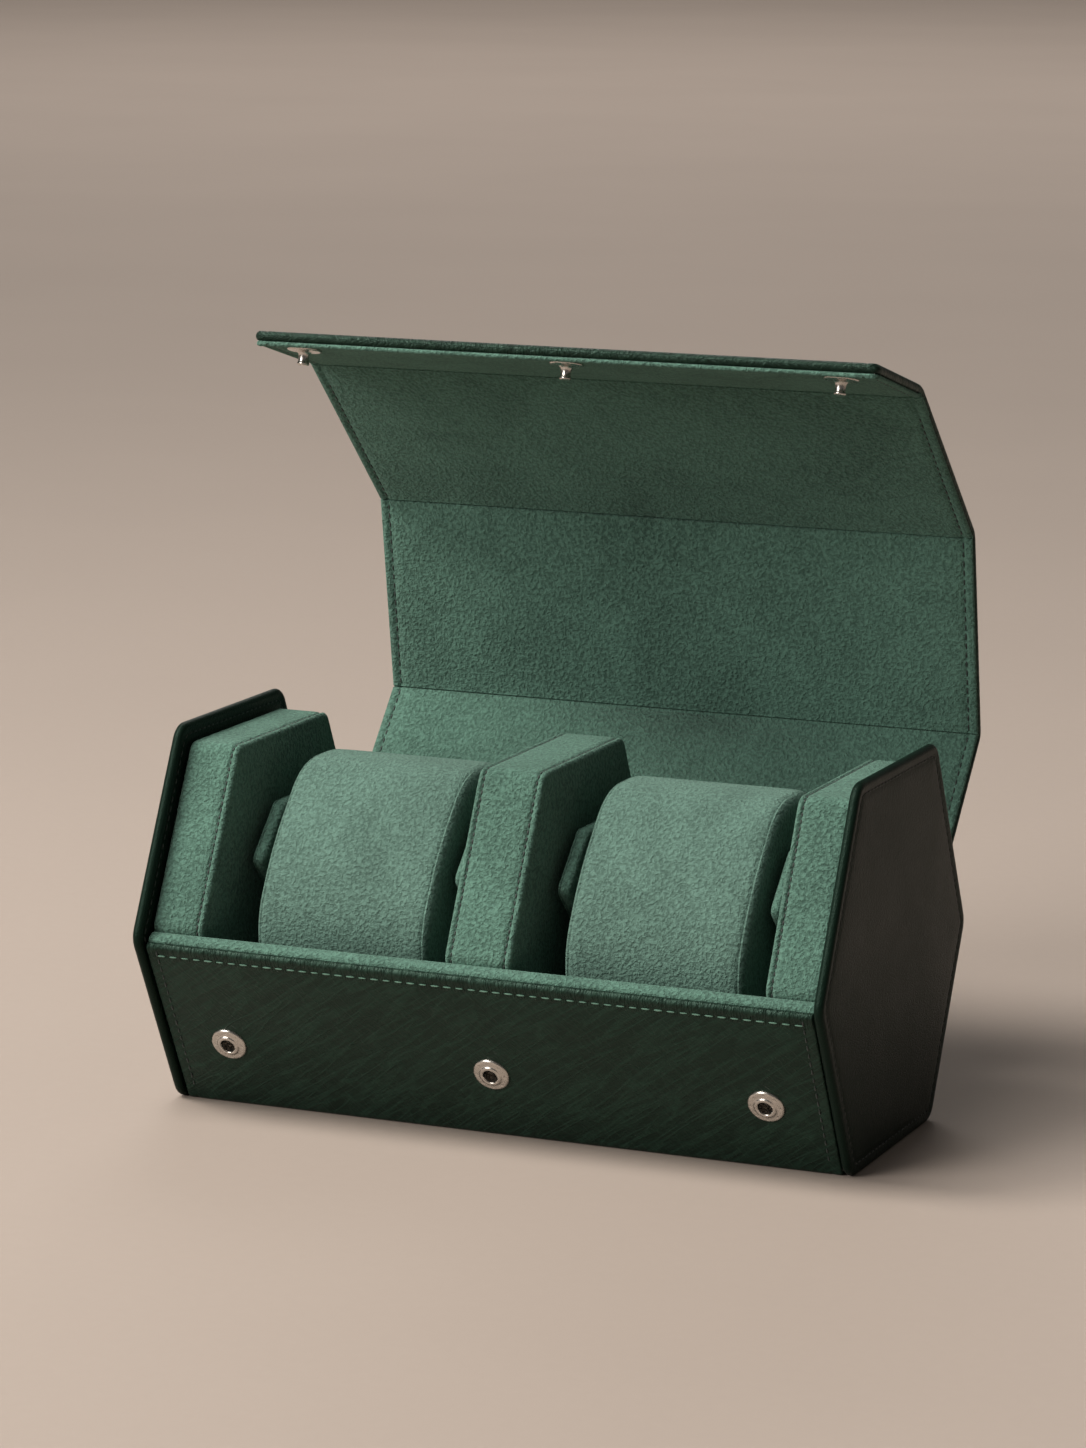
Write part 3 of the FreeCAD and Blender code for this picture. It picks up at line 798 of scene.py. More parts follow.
class WATCHCASE_OT_wrap(bpy.types.Operator):
    """Leather and suede of the front wall, the base and the back wall"""
    bl_idname = "watchcase.wrap"
    bl_label = "Walls and lining"

    def execute(self, context):
        s = sizes_of(context)
        section = Section(s)
        loop = sheet_loop(s.wrap_half, -s.leather, 0, [(s.wrap_half - 3.0, 0.14, 0.8)])
        hide = finish(context, "cross_grained_hide")
        leather = skinned("wall_leather", [swept(wall_path(section, s), loop)], hide)
        self.bore(leather, section, s)
        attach(leather, "case")
        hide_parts("wrap_cover")

        inset = s.rim_proud + s.leather + s.lining
        front = section.line("front_lower", inset + s.front_board)
        back = section.line("back_lower", inset + s.wall_board)
        floor = section.line("base", s.leather + s.wall_board + s.lining)
        along, n_in = front[1], inward(front[1])
        crest = cross_point(front, front_top(section, s, 0))
        strip = s.leather + s.front_board + s.lining - 2 * BEAD
        start = crest - n_in * strip + along * 1.3
        stop = hinge_places()[0] - section.along("back_lower") * 2.0
        end = cross_point(back, (stop, inward(back[1])))
        points = [start, crest - n_in * strip, crest, crest + along * 4,
                  cross_point(front, floor), cross_point(floor, back), end]
        line = filleted(points, [1.0, 1.35, 2, 1.5, 1.5], 7)
        stations = []
        for i, point in enumerate(line):
            before, after = line[max(i - 1, 0)], line[min(i + 1, len(line) - 1)]
            if np.linalg.norm(after - before) > 1e-6:
                stations.append(Station(point, inward(unit(before - after))))
        lining = skinned("wall_lining", [swept(stations, sheet_loop(s.wrap_half - 0.1, -s.lining, 0))],
                         finish(context, "lining_suede"))
        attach(lining, "case")
        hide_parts("wrap_lining")
        self.back_corners(context, section, s)
        return {"FINISHED"}

    def bore(self, leather, section, s):
        """Holes that take the barrels of the sockets."""
        seat, _, out = snap_seat(section, s)
        turn = Vector((0, *out)).to_track_quat("Z", "Y").to_matrix().to_4x4()
        drill = bmesh.new()
        for k in (-1, 0, 1):
            place = Matrix.Translation(Vector((k * s.snap_spacing, *seat)) * MM) @ turn
            bmesh.ops.create_cone(drill, cap_ends=True, segments=32, radius1=HOLE * MM, radius2=HOLE * MM,
                                  depth=8 * MM, matrix=place)
        mesh = bpy.data.meshes.new("socket_holes")
        drill.to_mesh(mesh)
        drill.free()
        tool = bpy.data.objects.new("socket_holes", mesh)
        bpy.context.scene.collection.objects.link(tool)
        cut = leather.modifiers.new("holes", "BOOLEAN")
        cut.object, cut.operation, cut.solver = tool, "DIFFERENCE", "EXACT"
        bpy.context.view_layer.update()
        bored = bpy.data.meshes.new_from_object(leather.evaluated_get(bpy.context.evaluated_depsgraph_get()))
        leather.modifiers.remove(cut)
        bpy.data.objects.remove(tool)
        bored.set_sharp_from_angle(angle=SHARP)
        bored.name, leather.data = "wall_leather_bored", bored

    def back_corners(self, context, section, s):
        """Turned leather on the top of the back wall, beside the lid."""
        along = section.along("back_lower")
        axis, n_in = hinge_places()[0], inward(along)
        groups = []
        for sign in (-1, 1):
            rings = []
            for x, draw in ((0.2, 0.3), (0.3, 0.12), (0.5, 0), (2.5, 0), (4.6, 0), (4.9, 0.12), (5.0, 0.3)):
                line = [axis + n_in * (1.4 + (n - 1.4) * (1 - draw * 0.3)) + along * (a - draw)
                        for n, a in BACK_CORNER]
                rings.append(at_x(line, sign * (s.lid_half + x)))
            groups.append(rings)
        piece = skinned("back_corner_leather", groups, finish(context, "cross_grained_hide"), along=100.0)
        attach(piece, "case")


# Pads: depth from the padded face, and inset. A seam runs beside the rolled edge of each face.
PAD_EDGE = [
    (7.0, 0.1), (4.6, 0.1), (3.5, 0.15), (3.1, 0.35), (2.85, 0.75), (2.7, 0.8), (2.45, 0.45), (2.2, 0.16),
    (1.9, 0.06), (1.6, 0.1), (1.3, 0.28), (1.05, 0.6), (0.9, 1.05), (0.85, 1.5),
]
PAD_FACE = [(0.8, 2.2), (0.62, 3.4), (0.4, 5.6), (0.2, 8.2), (0.06, 11), (0.0, 15), (0.0, 22), (0.0, 30)]
PAD_BACK = [(0.5, 24), (0.25, 8), (0.2, 1.6), (0.5, 0.5), (1.2, 0.12), (3.0, 0.1), (5.0, 0.1)]
SEAM_INSETS = {0.75, 0.8}
SEAM_DEPTH = 2.77  # from a padded face to the stitches of its seam


def points_of(rings, around):
    """Numbers of the points of some rings."""
    return [i for ring in rings for i in range(ring * around, (ring + 1) * around)]


def pad_insets(s):
    wall = s.rim_proud + s.leather + s.lining + s.soft_gap
    insets = {name: s.pad_inset for name in SIDES}
    insets.update(front_lower=wall + s.front_board, back_lower=wall + s.wall_board,
                  base=s.leather + s.wall_board + s.lining + s.soft_gap)
    return insets


def pad_line(section, s, draw):
    insets = {name: inset + draw for name, inset in pad_insets(s).items()}
    insets["base"] = pad_insets(s)["base"] + max(draw, 0) * 0.5
    return outline(section.ring(insets), [max(s.pad_corner - draw * 0.6, 0.8)] * 6, 7, 14)


class WATCHCASE_OT_pads(bpy.types.Operator):
    """Padded ends and divider in suede, with a seam beside each rolled edge"""
    bl_idname = "watchcase.pads"
    bl_label = "Pads and divider"

    def execute(self, context):
        s = sizes_of(context)
        section = Section(s)
        face = PAD_EDGE + PAD_FACE
        back = s.half_length - s.panel_thickness
        for name, sign in HANDS:
            stations = [(back - depth, inset) for depth, inset in PAD_BACK]
            stations += [(s.pad_face + depth, inset) for depth, inset in face]
            self.pad(context, "end_pad_" + name, [(sign * x, inset) for x, inset in stations],
                     len(PAD_BACK), "end_pad_cover_" + name, section, s)
        half = [(s.divider_half - depth, inset) for depth, inset in face]
        both = [(-x, inset) for x, inset in half[::-1]] + half
        self.pad(context, "divider_pad", both, 0, "divider_cover", section, s)
        return {"FINISHED"}

    def pad(self, context, name, stations, behind, node, section, s):
        """One pad; its first rings lie behind it, against the end panel."""
        rings = [at_x(pad_line(section, s, inset), x) for x, inset in stations]
        piece = skinned(name, [rings], finish(context, "lining_suede"))
        fixed = [i for i, (x, inset) in enumerate(stations) if inset in SEAM_INSETS or i < behind]
        held = points_of(fixed, len(rings[0]))
        base = [i for i, v in enumerate(piece.data.vertices) if v.co.z < 6 * MM]
        puffed(piece, sorted(set(held + base)), 3.0, 0.12)
        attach(piece, "case")
        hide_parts(node)


# Pillow: depth from the end, and inset, from the middle of the end face to the drum.
PILLOW_END = [
    (0.35, 30), (0.2, 22), (0.05, 14), (0.0, 9), (0.05, 5), (0.25, 3.0), (0.6, 1.7), (1.05, 0.9),
    (1.5, 0.5), (1.75, 0.62), (1.95, 0.66), (2.2, 0.45), (2.6, 0.22), (3.2, 0.12), (4.4, 0.06), (6.5, 0.03),
]
PILLOW_SEAM = 0.66
PILLOW_BULGE = 3.4


class WATCHCASE_OT_pillows(bpy.types.Operator):
    """Suede drums that the watches are strapped round"""
    bl_idname = "watchcase.pillows"
    bl_label = "Watch pillows"

    def execute(self, context):
        s = sizes_of(context)
        low = s.leather + s.wall_board + s.lining + s.soft_gap
        nose, top = np.array((42.3, 50.0)), np.array((12.0, s.pillow_top))
        rise = top - nose
        shoulder = (nose + top) / 2 + unit((rise[1], -rise[0])) * PILLOW_BULGE
        bend = np.linalg.norm(shoulder - nose) * 0.38 * np.linalg.norm(rise) / (PILLOW_BULGE * 2)
        right = [np.array((17.0, low)), nose, shoulder, top]
        corners = right + [point * (-1, 1) for point in right[::-1]]
        radii = [10.0, 23.0, bend, 20.0]
        radii += radii[::-1]

        def drum(inset):
            if inset > 9:
                centre = np.array((0.0, 48.0))
                share = max(1 - inset / 38, 0.05)
                return centre + (outline(corners, radii, 9, 5) - centre) * share
            return outline(drawn_in(corners, inset), [max(r - inset, 0.5) for r in radii], 9, 5)

        ends = [(s.pillow_half - depth, inset) for depth, inset in PILLOW_END]
        middle = [(x, 0.0) for x in np.linspace(s.pillow_half - 9, 9 - s.pillow_half, 15)]
        stations = ends + middle + [(-x, inset) for x, inset in ends[::-1]]
        for name, sign in HANDS:
            rings = [at_x(drum(inset), sign * s.pillow_centre + x) for x, inset in stations]
            piece = skinned("pillow_drum_" + name, [rings], finish(context, "pillow_suede"))
            fixed = [i for i, (x, inset) in enumerate(stations) if inset == PILLOW_SEAM or inset > 8]
            puffed(piece, points_of(fixed, len(rings[0])), 3.0, 0.35)
            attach(piece, "pillow_" + name)
            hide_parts("pillow_cover_" + name)
        return {"FINISHED"}


# Plate: depth from its inner face, and inset; a seam runs round its outer edge.
PLATE_RINGS = [
    (0.5, 10), (0.25, 4), (0.15, 1.6), (0.35, 0.8), (0.8, 0.3), (1.4, 0.12), (2.1, 0.1), (2.5, 0.2),
    (2.68, 0.45), (2.8, 0.45), (3.0, 0.2), (3.2, 0.22), (3.42, 0.5), (3.55, 1.0), (3.6, 1.8), (3.6, 4),
    (3.5, 10),
]
PLATE_GAP, PLATE_CENTRE, PLATE_WIDTH, PLATE_TOP, PLATE_HEIGHT = 2.4, 67.0, 58.0, 30.0, 28.0
HUB_RINGS = [(0.0, 1.0), (0.0, 0.4), (0.6, 0.1), (1.0, 0.25), (1.4, 0.25), (1.8, 0.1), (2.4, 0.4), (2.4, 1.0)]
HUB_WIDTH, HUB_HEIGHT = 24.0, 14.0


class WATCHCASE_OT_pillow_plates(bpy.types.Operator):
    """Suede end plates of the pillows and the blocks that carry them"""
    bl_idname = "watchcase.pillow_plates"
    bl_label = "Pillow end plates"

    def execute(self, context):
        s = sizes_of(context)
        half_w, half_t, half_h = PLATE_WIDTH / 2, PLATE_TOP / 2, PLATE_HEIGHT / 2
        six = [(half_t, -half_h), (half_w, 0), (half_t, half_h)]
        six += [(-y, z) for y, z in six[::-1]]
        four = [(HUB_WIDTH / 2, -HUB_HEIGHT / 2), (HUB_WIDTH / 2, HUB_HEIGHT / 2)]
        four += [(-y, z) for y, z in four[::-1]]

        def ring(corners, inset, radius):
            corners = [np.array((y, PLATE_CENTRE + z)) for y, z in corners]
            return outline(drawn_in(corners, inset), [max(radius - inset * 0.5, 0.4)] * len(corners), 5, 8)

        for name, sign in HANDS:
            plates, hubs = [], []
            for way in (-1, 1):
                start = sign * s.pillow_centre + way * s.pillow_half
                plates.append([at_x(ring(six, inset, 2.5), start + way * (PLATE_GAP + depth))
                               for depth, inset in PLATE_RINGS])
                hubs.append([at_x(ring(four, inset, 2.0), start + way * depth) for depth, inset in HUB_RINGS])
            plate = skinned("pillow_plate_" + name, plates, finish(context, "lining_suede"))
            hub = skinned("pillow_hub_" + name, hubs, finish(context, "lining_suede"))
            for piece, node, fill in ((plate, "pillow_plates_", 0.9), (hub, "pillow_hubs_", 0.95)):
                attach(piece, "pillow_" + name)
                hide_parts(node + name)
        return {"FINISHED"}


# Lid

PANELS = ("lid_rear", "lid_top", "lid_front", "flap")
FRONT_BAND = 9.9  # soft part of the front panel, which the front wall presses flat
FOLDS = ("back", "rear", "front", "flap")
STUD_STAND = 2.25  # from the flap's lining to the seat of its studs


def lid_ways(section):
    """Direction of the back wall and of each lid panel at rest, from the case towards the flap."""
    places = hinge_places()
    ways = [section.along("back_lower")] + [unit(b - a) for a, b in zip(places, places[1:])]
    closed = bearing(section.along("front_lower")) - bearing(section.along("front_upper"))
    opened = -math.radians(JOINTS["flap_crease"]["range_deg"][0])
    return ways + [turned_by(ways[-1], (closed - opened) % (2 * math.pi))]


def outside(way):
    return -inward(way)


def flap_reach(section, s):
    """From the flap's crease to its press studs."""
    outer = s.rim_proud - STUD_STAND - s.leather - s.lid_board - s.lining + s.leather / 2
    upper = section.line("front_upper", s.rim_proud + s.leather / 2)
    fold = cross_point(upper, section.line("front_lower", outer))
    along = section.along("front_lower")
    return (section.corners[0] - along * s.snap_height - fold) @ along


def fold_path(hinge, way, next_way, before, after, steps=12):
    """Stations round a crease, in the middle of the leather."""
    stations = []
    for k in range(steps + 1):
        t = k / steps
        place = hinge - way * before * (1 - t) ** 2 + next_way * after * t ** 2
        tangent = unit(way * before * (1 - t) + next_way * after * t)
        stations.append(Station(place, outside(tangent)))
    return stations


def hide_loop(s):
    """Leather of a lid panel: the skin, its rolled side edges and the hollow that takes the board."""
    skin_half = s.leather / 2
    low = -skin_half - s.lid_board
    groove, wall = s.lid_half - 3.2, s.lid_half - s.leather
    right = [(0, skin_half, 0), (groove - 0.8, skin_half, 0), (groove - 0.4, skin_half - 0.06, 0),
             (groove, skin_half - 0.12, 0), (groove + 0.4, skin_half - 0.06, 0), (groove + 0.8, skin_half, 0)]
    right += half_round(s.lid_half, low, skin_half, 10)
    right = [p for p in right if p[0] > wall or p[1] > -skin_half]
    return both_sides(right + [(wall, low, 0), (wall, -skin_half, 1), (0, -skin_half, 1)])


def lining_loop(s, half, edge=0.45):
    """Suede of a lid panel, with a sewn margin along its side edges; the visible face is the inner one."""
    high = -s.leather / 2 - s.lid_board
    low = high - s.lining
    right = [(0, high, 0), (half - 1.3, high, 0)] + half_round(half, low - 0.05, high + edge, 8)
    stitch = half - 2.6
    right += [(half - 1.2, low - 0.17, 0), (stitch + 0.8, low - 0.1, 0), (stitch + 0.3, low + 0.22, 0),
              (stitch, low + 0.34, 0), (stitch - 0.3, low + 0.22, 0), (stitch - 0.8, low - 0.04, 0),
              (stitch - 2.6, low - 0.12, 0), (stitch - 7.0, low - 0.06, 0), (stitch - 16, low, 0),
              (0, low, 0)]
    return both_sides(right)


class Lid:
    """Places of the lid at rest."""

    def __init__(self, s):
        self.s = s
        self.section = Section(s)
        self.hinges = hinge_places()
        self.ways = lid_ways(self.section)
        self.flap_end = flap_reach(self.section, s) + s.flap_margin
        self.laps = [(BACK_LAP, s.fold_lap)] + [(s.fold_lap, s.fold_lap)] * 3

    def run(self, level):
        """First and last point of a panel between its folds, and its way."""
        way = self.ways[level + 1]
        start = self.hinges[level] + way * self.laps[level][1]
        if level < 3:
            return start, self.hinges[level + 1] - way * self.laps[level + 1][0], way
        return start, self.hinges[level] + way * self.flap_end, way

    def band(self):
        """First and last point of the front panel's soft band, and its way."""
        _, end, way = self.run(2)
        return end - way * (FRONT_BAND - self.s.fold_lap), end, way

    def fold(self, level, steps=12):
        return fold_path(self.hinges[level], self.ways[level], self.ways[level + 1], *self.laps[level], steps)

    def blend(self, piece, level):
        before, after = self.laps[level]
        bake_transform(piece)


def free_end(start, end, normal, half, corner, low, high, filled_from):
    """Stations of a sheet whose free end is rolled and has rounded corners."""
    way = unit(end - start)
    total = (end - start) @ way
    radius, middle = (high - low) / 2, (high + low) / 2
    places = list(np.linspace(0, total - corner - 1, 4))
    places += [total - corner * (1 - math.sin(a)) for a in np.linspace(0, 1.0, 6)]
    places += [total - radius * (1 - math.sin(a)) for a in np.linspace(0.5, math.pi / 2, 8)]
    stations = []
    for place in sorted(set(np.round(places, 4))):
        short = max(0.0, corner - (total - place))
        draw = corner - math.sqrt(max(corner ** 2 - short ** 2, 0))
        near = max(0.0, radius - (total - place))
        thin = max(math.sqrt(max(1 - (near / radius) ** 2, 0)), 0.05)
        filled = place > filled_from
        stations.append(Station(start + way * place, normal, 1 - draw / half, thin, middle, filled))
    return stations


ROLL = 0.62  # radius of the suede roll along the flap's free edge


def rolled_end(start, end, normal, half, corner, high):
    """Stations of a lining whose free end swells into a roll, with rounded corners."""
    way = unit(end - start)
    total = (end - start) @ way
    gaps = [total, total * 0.6, total * 0.3, 5.0, 4.0, 3.4, 3.0, 2.6, 2.3]
    gaps += [ROLL * (1 - math.cos(a)) for a in np.linspace(1.9, 0, 11)]
    stations = []
    for gap in gaps:
        short = max(0.0, corner - gap)
        draw = corner - math.sqrt(max(corner ** 2 - short ** 2, 0))
        if gap < ROLL:
            half_thick = math.sqrt(max(ROLL ** 2 - (ROLL - gap) ** 2, 0.0016))
            top, low = -ROLL + half_thick, -ROLL - half_thick
        else:
            swell = max(0.0, 1 - ((gap - ROLL) / 2.1) ** 2) ** 0.5 if gap < ROLL + 2.1 else 0.0
            top, low = 0.0, -(0.8 + (2 * ROLL - 0.8) * swell)
        thin = (top - low) / 0.8
        middle = high + top if thin == 1 else (high + top - high * thin) / (1 - thin)
        stations.append(Station(start + way * (total - gap), normal, 1 - draw / half, thin, middle))
    return stations


class WATCHCASE_OT_lid_leather(bpy.types.Operator):
    """Leather of the four lid panels and of the folds between them"""
    bl_idname = "watchcase.lid_leather"
    bl_label = "Lid leather"

    def execute(self, context):
        s = sizes_of(context)
        lid = Lid(s)
        hide = finish(context, "cross_grained_hide")
        nodes = ("back_crease", "rear_crease", "front_crease", "flap_crease")
        full = hide_loop(s)
        skin_half = s.leather / 2
        flat = full._replace(d=np.where(full.d < -skin_half, full.d * 0.03 - skin_half * 0.97, full.d))
        for level, name in enumerate(PANELS):
            start, end, way = lid.run(level)
            out, reach_in = outside(way), (end - start) @ way
            if name == "flap":
                rings = swept(free_end(start, end, out, s.lid_half, s.flap_corner, -skin_half - s.lid_board,
                                       skin_half, reach_in - 1.3), full)
            elif name == "lid_front":
                stop = lid.band()[0]
                rings = swept(straight(start, stop, out), full)
                rings += swept(straight(stop + way * 0.02, end, out, 2), flat)
            else:
                rings = swept(straight(start, end, out), full)
            first = FLAP_EDGE - reach_in if name == "flap" else 200.0 + 60 * level
            piece = skinned(name + "_leather", [rings], hide, along=first)
            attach(piece, name)
            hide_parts(name + "_cover")
        for level, name in enumerate(FOLDS):
            rings = swept(lid.fold(level), full)
            piece = skinned(name + "_fold_leather", [rings], hide, along=197.0 + 60 * level)
            lid.blend(piece, level)
            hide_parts(nodes[level])
        self.front_lips(lid, s, hide)
        return {"FINISHED"}

    def front_lips(self, lid, s, hide):
        """Soft turned edge of the front panel's band."""
        stop, end, way = lid.band()
        low, high = -s.leather / 2 - s.lid_board, -s.leather / 2
        middle = s.lid_half - 0.75
        groups = []
        for sign in (-1, 1):
            x = sign * (middle + np.array((-0.55, 0.7, 0.72, 0.4, 0, -0.5)))
            d = np.array((high, high, -1.1, -1.75, low + 0.02, low))
            groups.append(swept(straight(stop, end, outside(way), 3), Loop(x, d, np.zeros(len(x), bool))))
        piece = skinned("front_lip_leather", groups, hide)
        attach(piece, "lid_front")
        squash_front(piece, lid, s)


def squash_front(piece, lid, s):
    """Give a piece of the front panel's band a mesh of its own; the way, anchor and normal worked out here are not
    used.
    """
    way = lid.ways[3]
    anchor = lid.hinges[3] - way * 4 - outside(way) * (s.leather / 2)
    normal = outside(way)
    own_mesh(piece)


class WATCHCASE_OT_lid_lining(bpy.types.Operator):
    """Suede of the four lid panels, pressed into a line at each fold"""
    bl_idname = "watchcase.lid_lining"
    bl_label = "Lid lining"

    def execute(self, context):
        s = sizes_of(context)
        lid = Lid(s)
        nap = finish(context, "lining_suede")
        loop = lining_loop(s, s.lining_half)
        high = -s.leather / 2 - s.lid_board
        for level, name in enumerate(PANELS):
            start, end, way = lid.run(level)
            if name == "flap":
                edge = end - way * 0.5
                stations = rolled_end(start, edge, outside(way), s.lining_half, s.flap_corner, high)
            elif name == "lid_front":
                stations = straight(start, lid.band()[0], outside(way))
            else:
                stations = straight(start, end, outside(way))
            shape = lining_loop(s, s.lining_half, 0.0) if name == "flap" else loop
            piece = skinned(name + "_suede", [swept(stations, shape)], nap)
            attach(piece, name)
            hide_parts(name + "_lining")
        for level, name in enumerate(FOLDS):
            stations = []
            path = lid.fold(level, 24)
            for k, station in enumerate(path):
                t = abs(k / 12 - 1)
                press = 0.75 * max(0.0, 1 - (t / 0.3) ** 2) if t < 0.3 else 0.0
                stations.append(station._replace(place=station.place + station.normal * press))
            piece = skinned(name + "_fold_suede", [swept(stations, loop)], nap)
            lid.blend(piece, level)
        stop, end, way = lid.band()
        deep = loop._replace(d=np.where(loop.d > high - 0.2, -s.leather / 2 - 0.02, loop.d))
        piece = skinned("front_band_suede", [swept(straight(stop, end, outside(way), 3), deep)], nap)
        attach(piece, "lid_front")
        squash_front(piece, lid, s)
        return {"FINISHED"}


# Press studs

SOCKET = [
    (2.0, -1.8), (2.0, 0.9), (2.06, 1.1), (2.2, 1.24), (2.45, 1.28), (2.75, 1.24), (2.98, 1.1), (3.1, 0.92),
    (3.24, 0.8), (3.42, 0.74), (3.6, 0.73), (3.75, 0.73), (3.9, 0.73), (4.05, 0.73), (4.2, 0.73),
    (4.35, 0.72), (4.5, 0.7), (4.66, 0.64), (4.82, 0.54), (4.96, 0.38), (5.04, 0.2), (5.08, 0.0),
    (2.6, 0.0), (2.6, -1.8),
]
STUD = [
    (0, 3.5), (1.45, 3.5), (1.45, 2.25), (4.7, 2.25), (4.75, 2.1), (4.7, 1.85), (4.5, 1.68), (4.2, 1.6),
    (3.4, 1.55), (2.6, 1.5), (2.0, 1.3), (1.6, 0.9), (1.42, 0.3), (1.4, -0.6), (1.45, -1.2), (1.6, -1.55),
    (1.65, -1.8), (1.55, -2.05), (1.3, -2.18), (0.7, -2.2), (0, -2.2),
]
DIMPLES, DIMPLE_RING, DIMPLE_SIZE, DIMPLE_DEPTH = 8, 4.05, 0.34, 0.2


def lathe(profile, around, ring):
    """Round piece on the z axis from its half section, which is closed for a ring and open for a plug."""
    verts, faces = [], []
    for k in range(around):
        a = 2 * math.pi * k / around
        for radius, height in profile:
            verts.append((radius * math.cos(a), radius * math.sin(a), height))
    count = len(profile)
    for k in range(around):
        m = (k + 1) % around
        for j in range(count if ring else count - 1):
            n = (j + 1) % count
            faces.append([k * count + j, m * count + j, m * count + n, k * count + n])
    return np.array(verts), faces


def new_tree(name, **inputs):
    """Geometry Nodes tree whose inputs are a geometry, a material and the given ones, and its input node."""
    tree = bpy.data.node_groups.new(name, "GeometryNodeTree")
    for key, kind in {"Geometry": "Geometry", **inputs, "Material": "Material"}.items():
        tree.interface.new_socket(key, in_out="INPUT", socket_type="NodeSocket" + kind)
    tree.interface.new_socket("Geometry", in_out="OUTPUT", socket_type="NodeSocketGeometry")
    return tree, tree.nodes.new("NodeGroupInput").outputs


def copied(tree, given, points, instance):
    """Give out painted real copies of an instance on points; returns the inputs of the copying node."""
    add, link = tree.nodes.new, tree.links.new
    copies, real = add("GeometryNodeInstanceOnPoints"), add("GeometryNodeRealizeInstances")
    paint, end = add("GeometryNodeSetMaterial"), add("NodeGroupOutput")
    link(points, copies.inputs["Points"])
    link(instance, copies.inputs["Instance"])
    link(copies.outputs[0], real.inputs[0])
    link(real.outputs[0], paint.inputs[0])
    link(given["Material"], paint.inputs["Material"])
    link(paint.outputs[0], end.inputs[0])
    return copies.inputs


def row_tree():
    """Geometry Nodes: copies of a piece in a row along x."""
    tree, given = new_tree("snap_row", Count="Int", Spacing="Float")
    add, link = tree.nodes.new, tree.links.new
    spacing, line = add("ShaderNodeCombineXYZ"), add("GeometryNodeMeshLine")
    less, first = add("ShaderNodeMath"), add("ShaderNodeVectorMath")
    less.operation, first.operation = "MULTIPLY_ADD", "SCALE"
    less.inputs[1].default_value, less.inputs[2].default_value = -0.5, 0.5
    link(given["Spacing"], spacing.inputs[0])
    link(given["Count"], line.inputs["Count"])
    link(spacing.outputs[0], line.inputs["Offset"])
    link(given["Count"], less.inputs[0])
    link(spacing.outputs[0], first.inputs[0])
    link(less.outputs[0], first.inputs["Scale"])
    link(first.outputs[0], line.inputs["Start Location"])
    copied(tree, given, line.outputs[0], given["Geometry"])
    return tree


def grown(source, tree, inputs, name):
    """Plain piece from a Geometry Nodes tree on a source object, which is then removed."""
    modifier = source.modifiers.new("grow", "NODES")
    modifier.node_group = tree
    keys = {item.name: item.identifier for item in tree.interface.items_tree if item.in_out == "INPUT"}
    for key, value in inputs.items():
        modifier[keys[key]] = value
    bpy.context.view_layer.update()
    mesh = bpy.data.meshes.new_from_object(source.evaluated_get(bpy.context.evaluated_depsgraph_get()))
    source.modifiers.remove(modifier)
    bpy.data.objects.remove(source)
    mesh.name = name
    piece = bpy.data.objects.new(name, mesh)
    bpy.context.scene.collection.objects.link(piece)
    return piece


class WATCHCASE_OT_press_studs(bpy.types.Operator):
    """Sockets on the front wall and studs on the flap"""
    bl_idname = "watchcase.press_studs"
    bl_label = "Press studs"

    def execute(self, context):
        s = sizes_of(context)
        section = Section(s)
        seat, along, out = snap_seat(section, s)
        tree = row_tree()
        inputs = {"Count": 3, "Spacing": s.snap_spacing * MM, "Material": finish(context, "steel")}

        verts, faces = lathe(SOCKET, 96, True)
        angle, radius = np.arctan2(verts[:, 1], verts[:, 0]), np.hypot(verts[:, 0], verts[:, 1])
        step = 2 * math.pi / DIMPLES
        off = (np.remainder(angle + step / 2, step) - step / 2) * radius
        away = np.hypot(off, radius - DIMPLE_RING) / DIMPLE_SIZE
        verts[:, 2] -= np.where((verts[:, 2] > 0.5) & (away < 1), DIMPLE_DEPTH * (1 - away ** 2), 0)
        self.row("snap_socket_rings", verts, faces, seat, along, out, tree, inputs, "case", "snap_sockets")

        lid = Lid(s)
        way, hinge = lid.ways[4], lid.hinges[3]
        depth = s.leather / 2 + s.lid_board + s.lining + STUD_STAND
        face = hinge + way * flap_reach(section, s) - outside(way) * depth
        verts, faces = lathe(STUD, 64, False)
        self.row("snap_stud_caps", verts, faces, face, way, outside(way), tree, inputs, "flap", "snap_studs")
        return {"FINISHED"}

    def row(self, name, verts, faces, seat, along, out, tree, inputs, body, node):
        """A row of round pieces whose axis points out of a panel."""
        y = seat[0] + verts[:, 1] * along[0] + verts[:, 2] * out[0]
        z = seat[1] + verts[:, 1] * along[1] + verts[:, 2] * out[1]
        source = new_piece(name + "_source", np.column_stack([verts[:, 0], y, z]), faces)
        merged = bmesh.new()
        merged.from_mesh(source.data)
        bmesh.ops.remove_doubles(merged, verts=merged.verts, dist=1e-6)
        bmesh.ops.recalc_face_normals(merged, faces=merged.faces)
        merged.to_mesh(source.data)
        merged.free()
        piece = grown(source, tree, inputs, name)
        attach(piece, body)
        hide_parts(node)


# Stitching

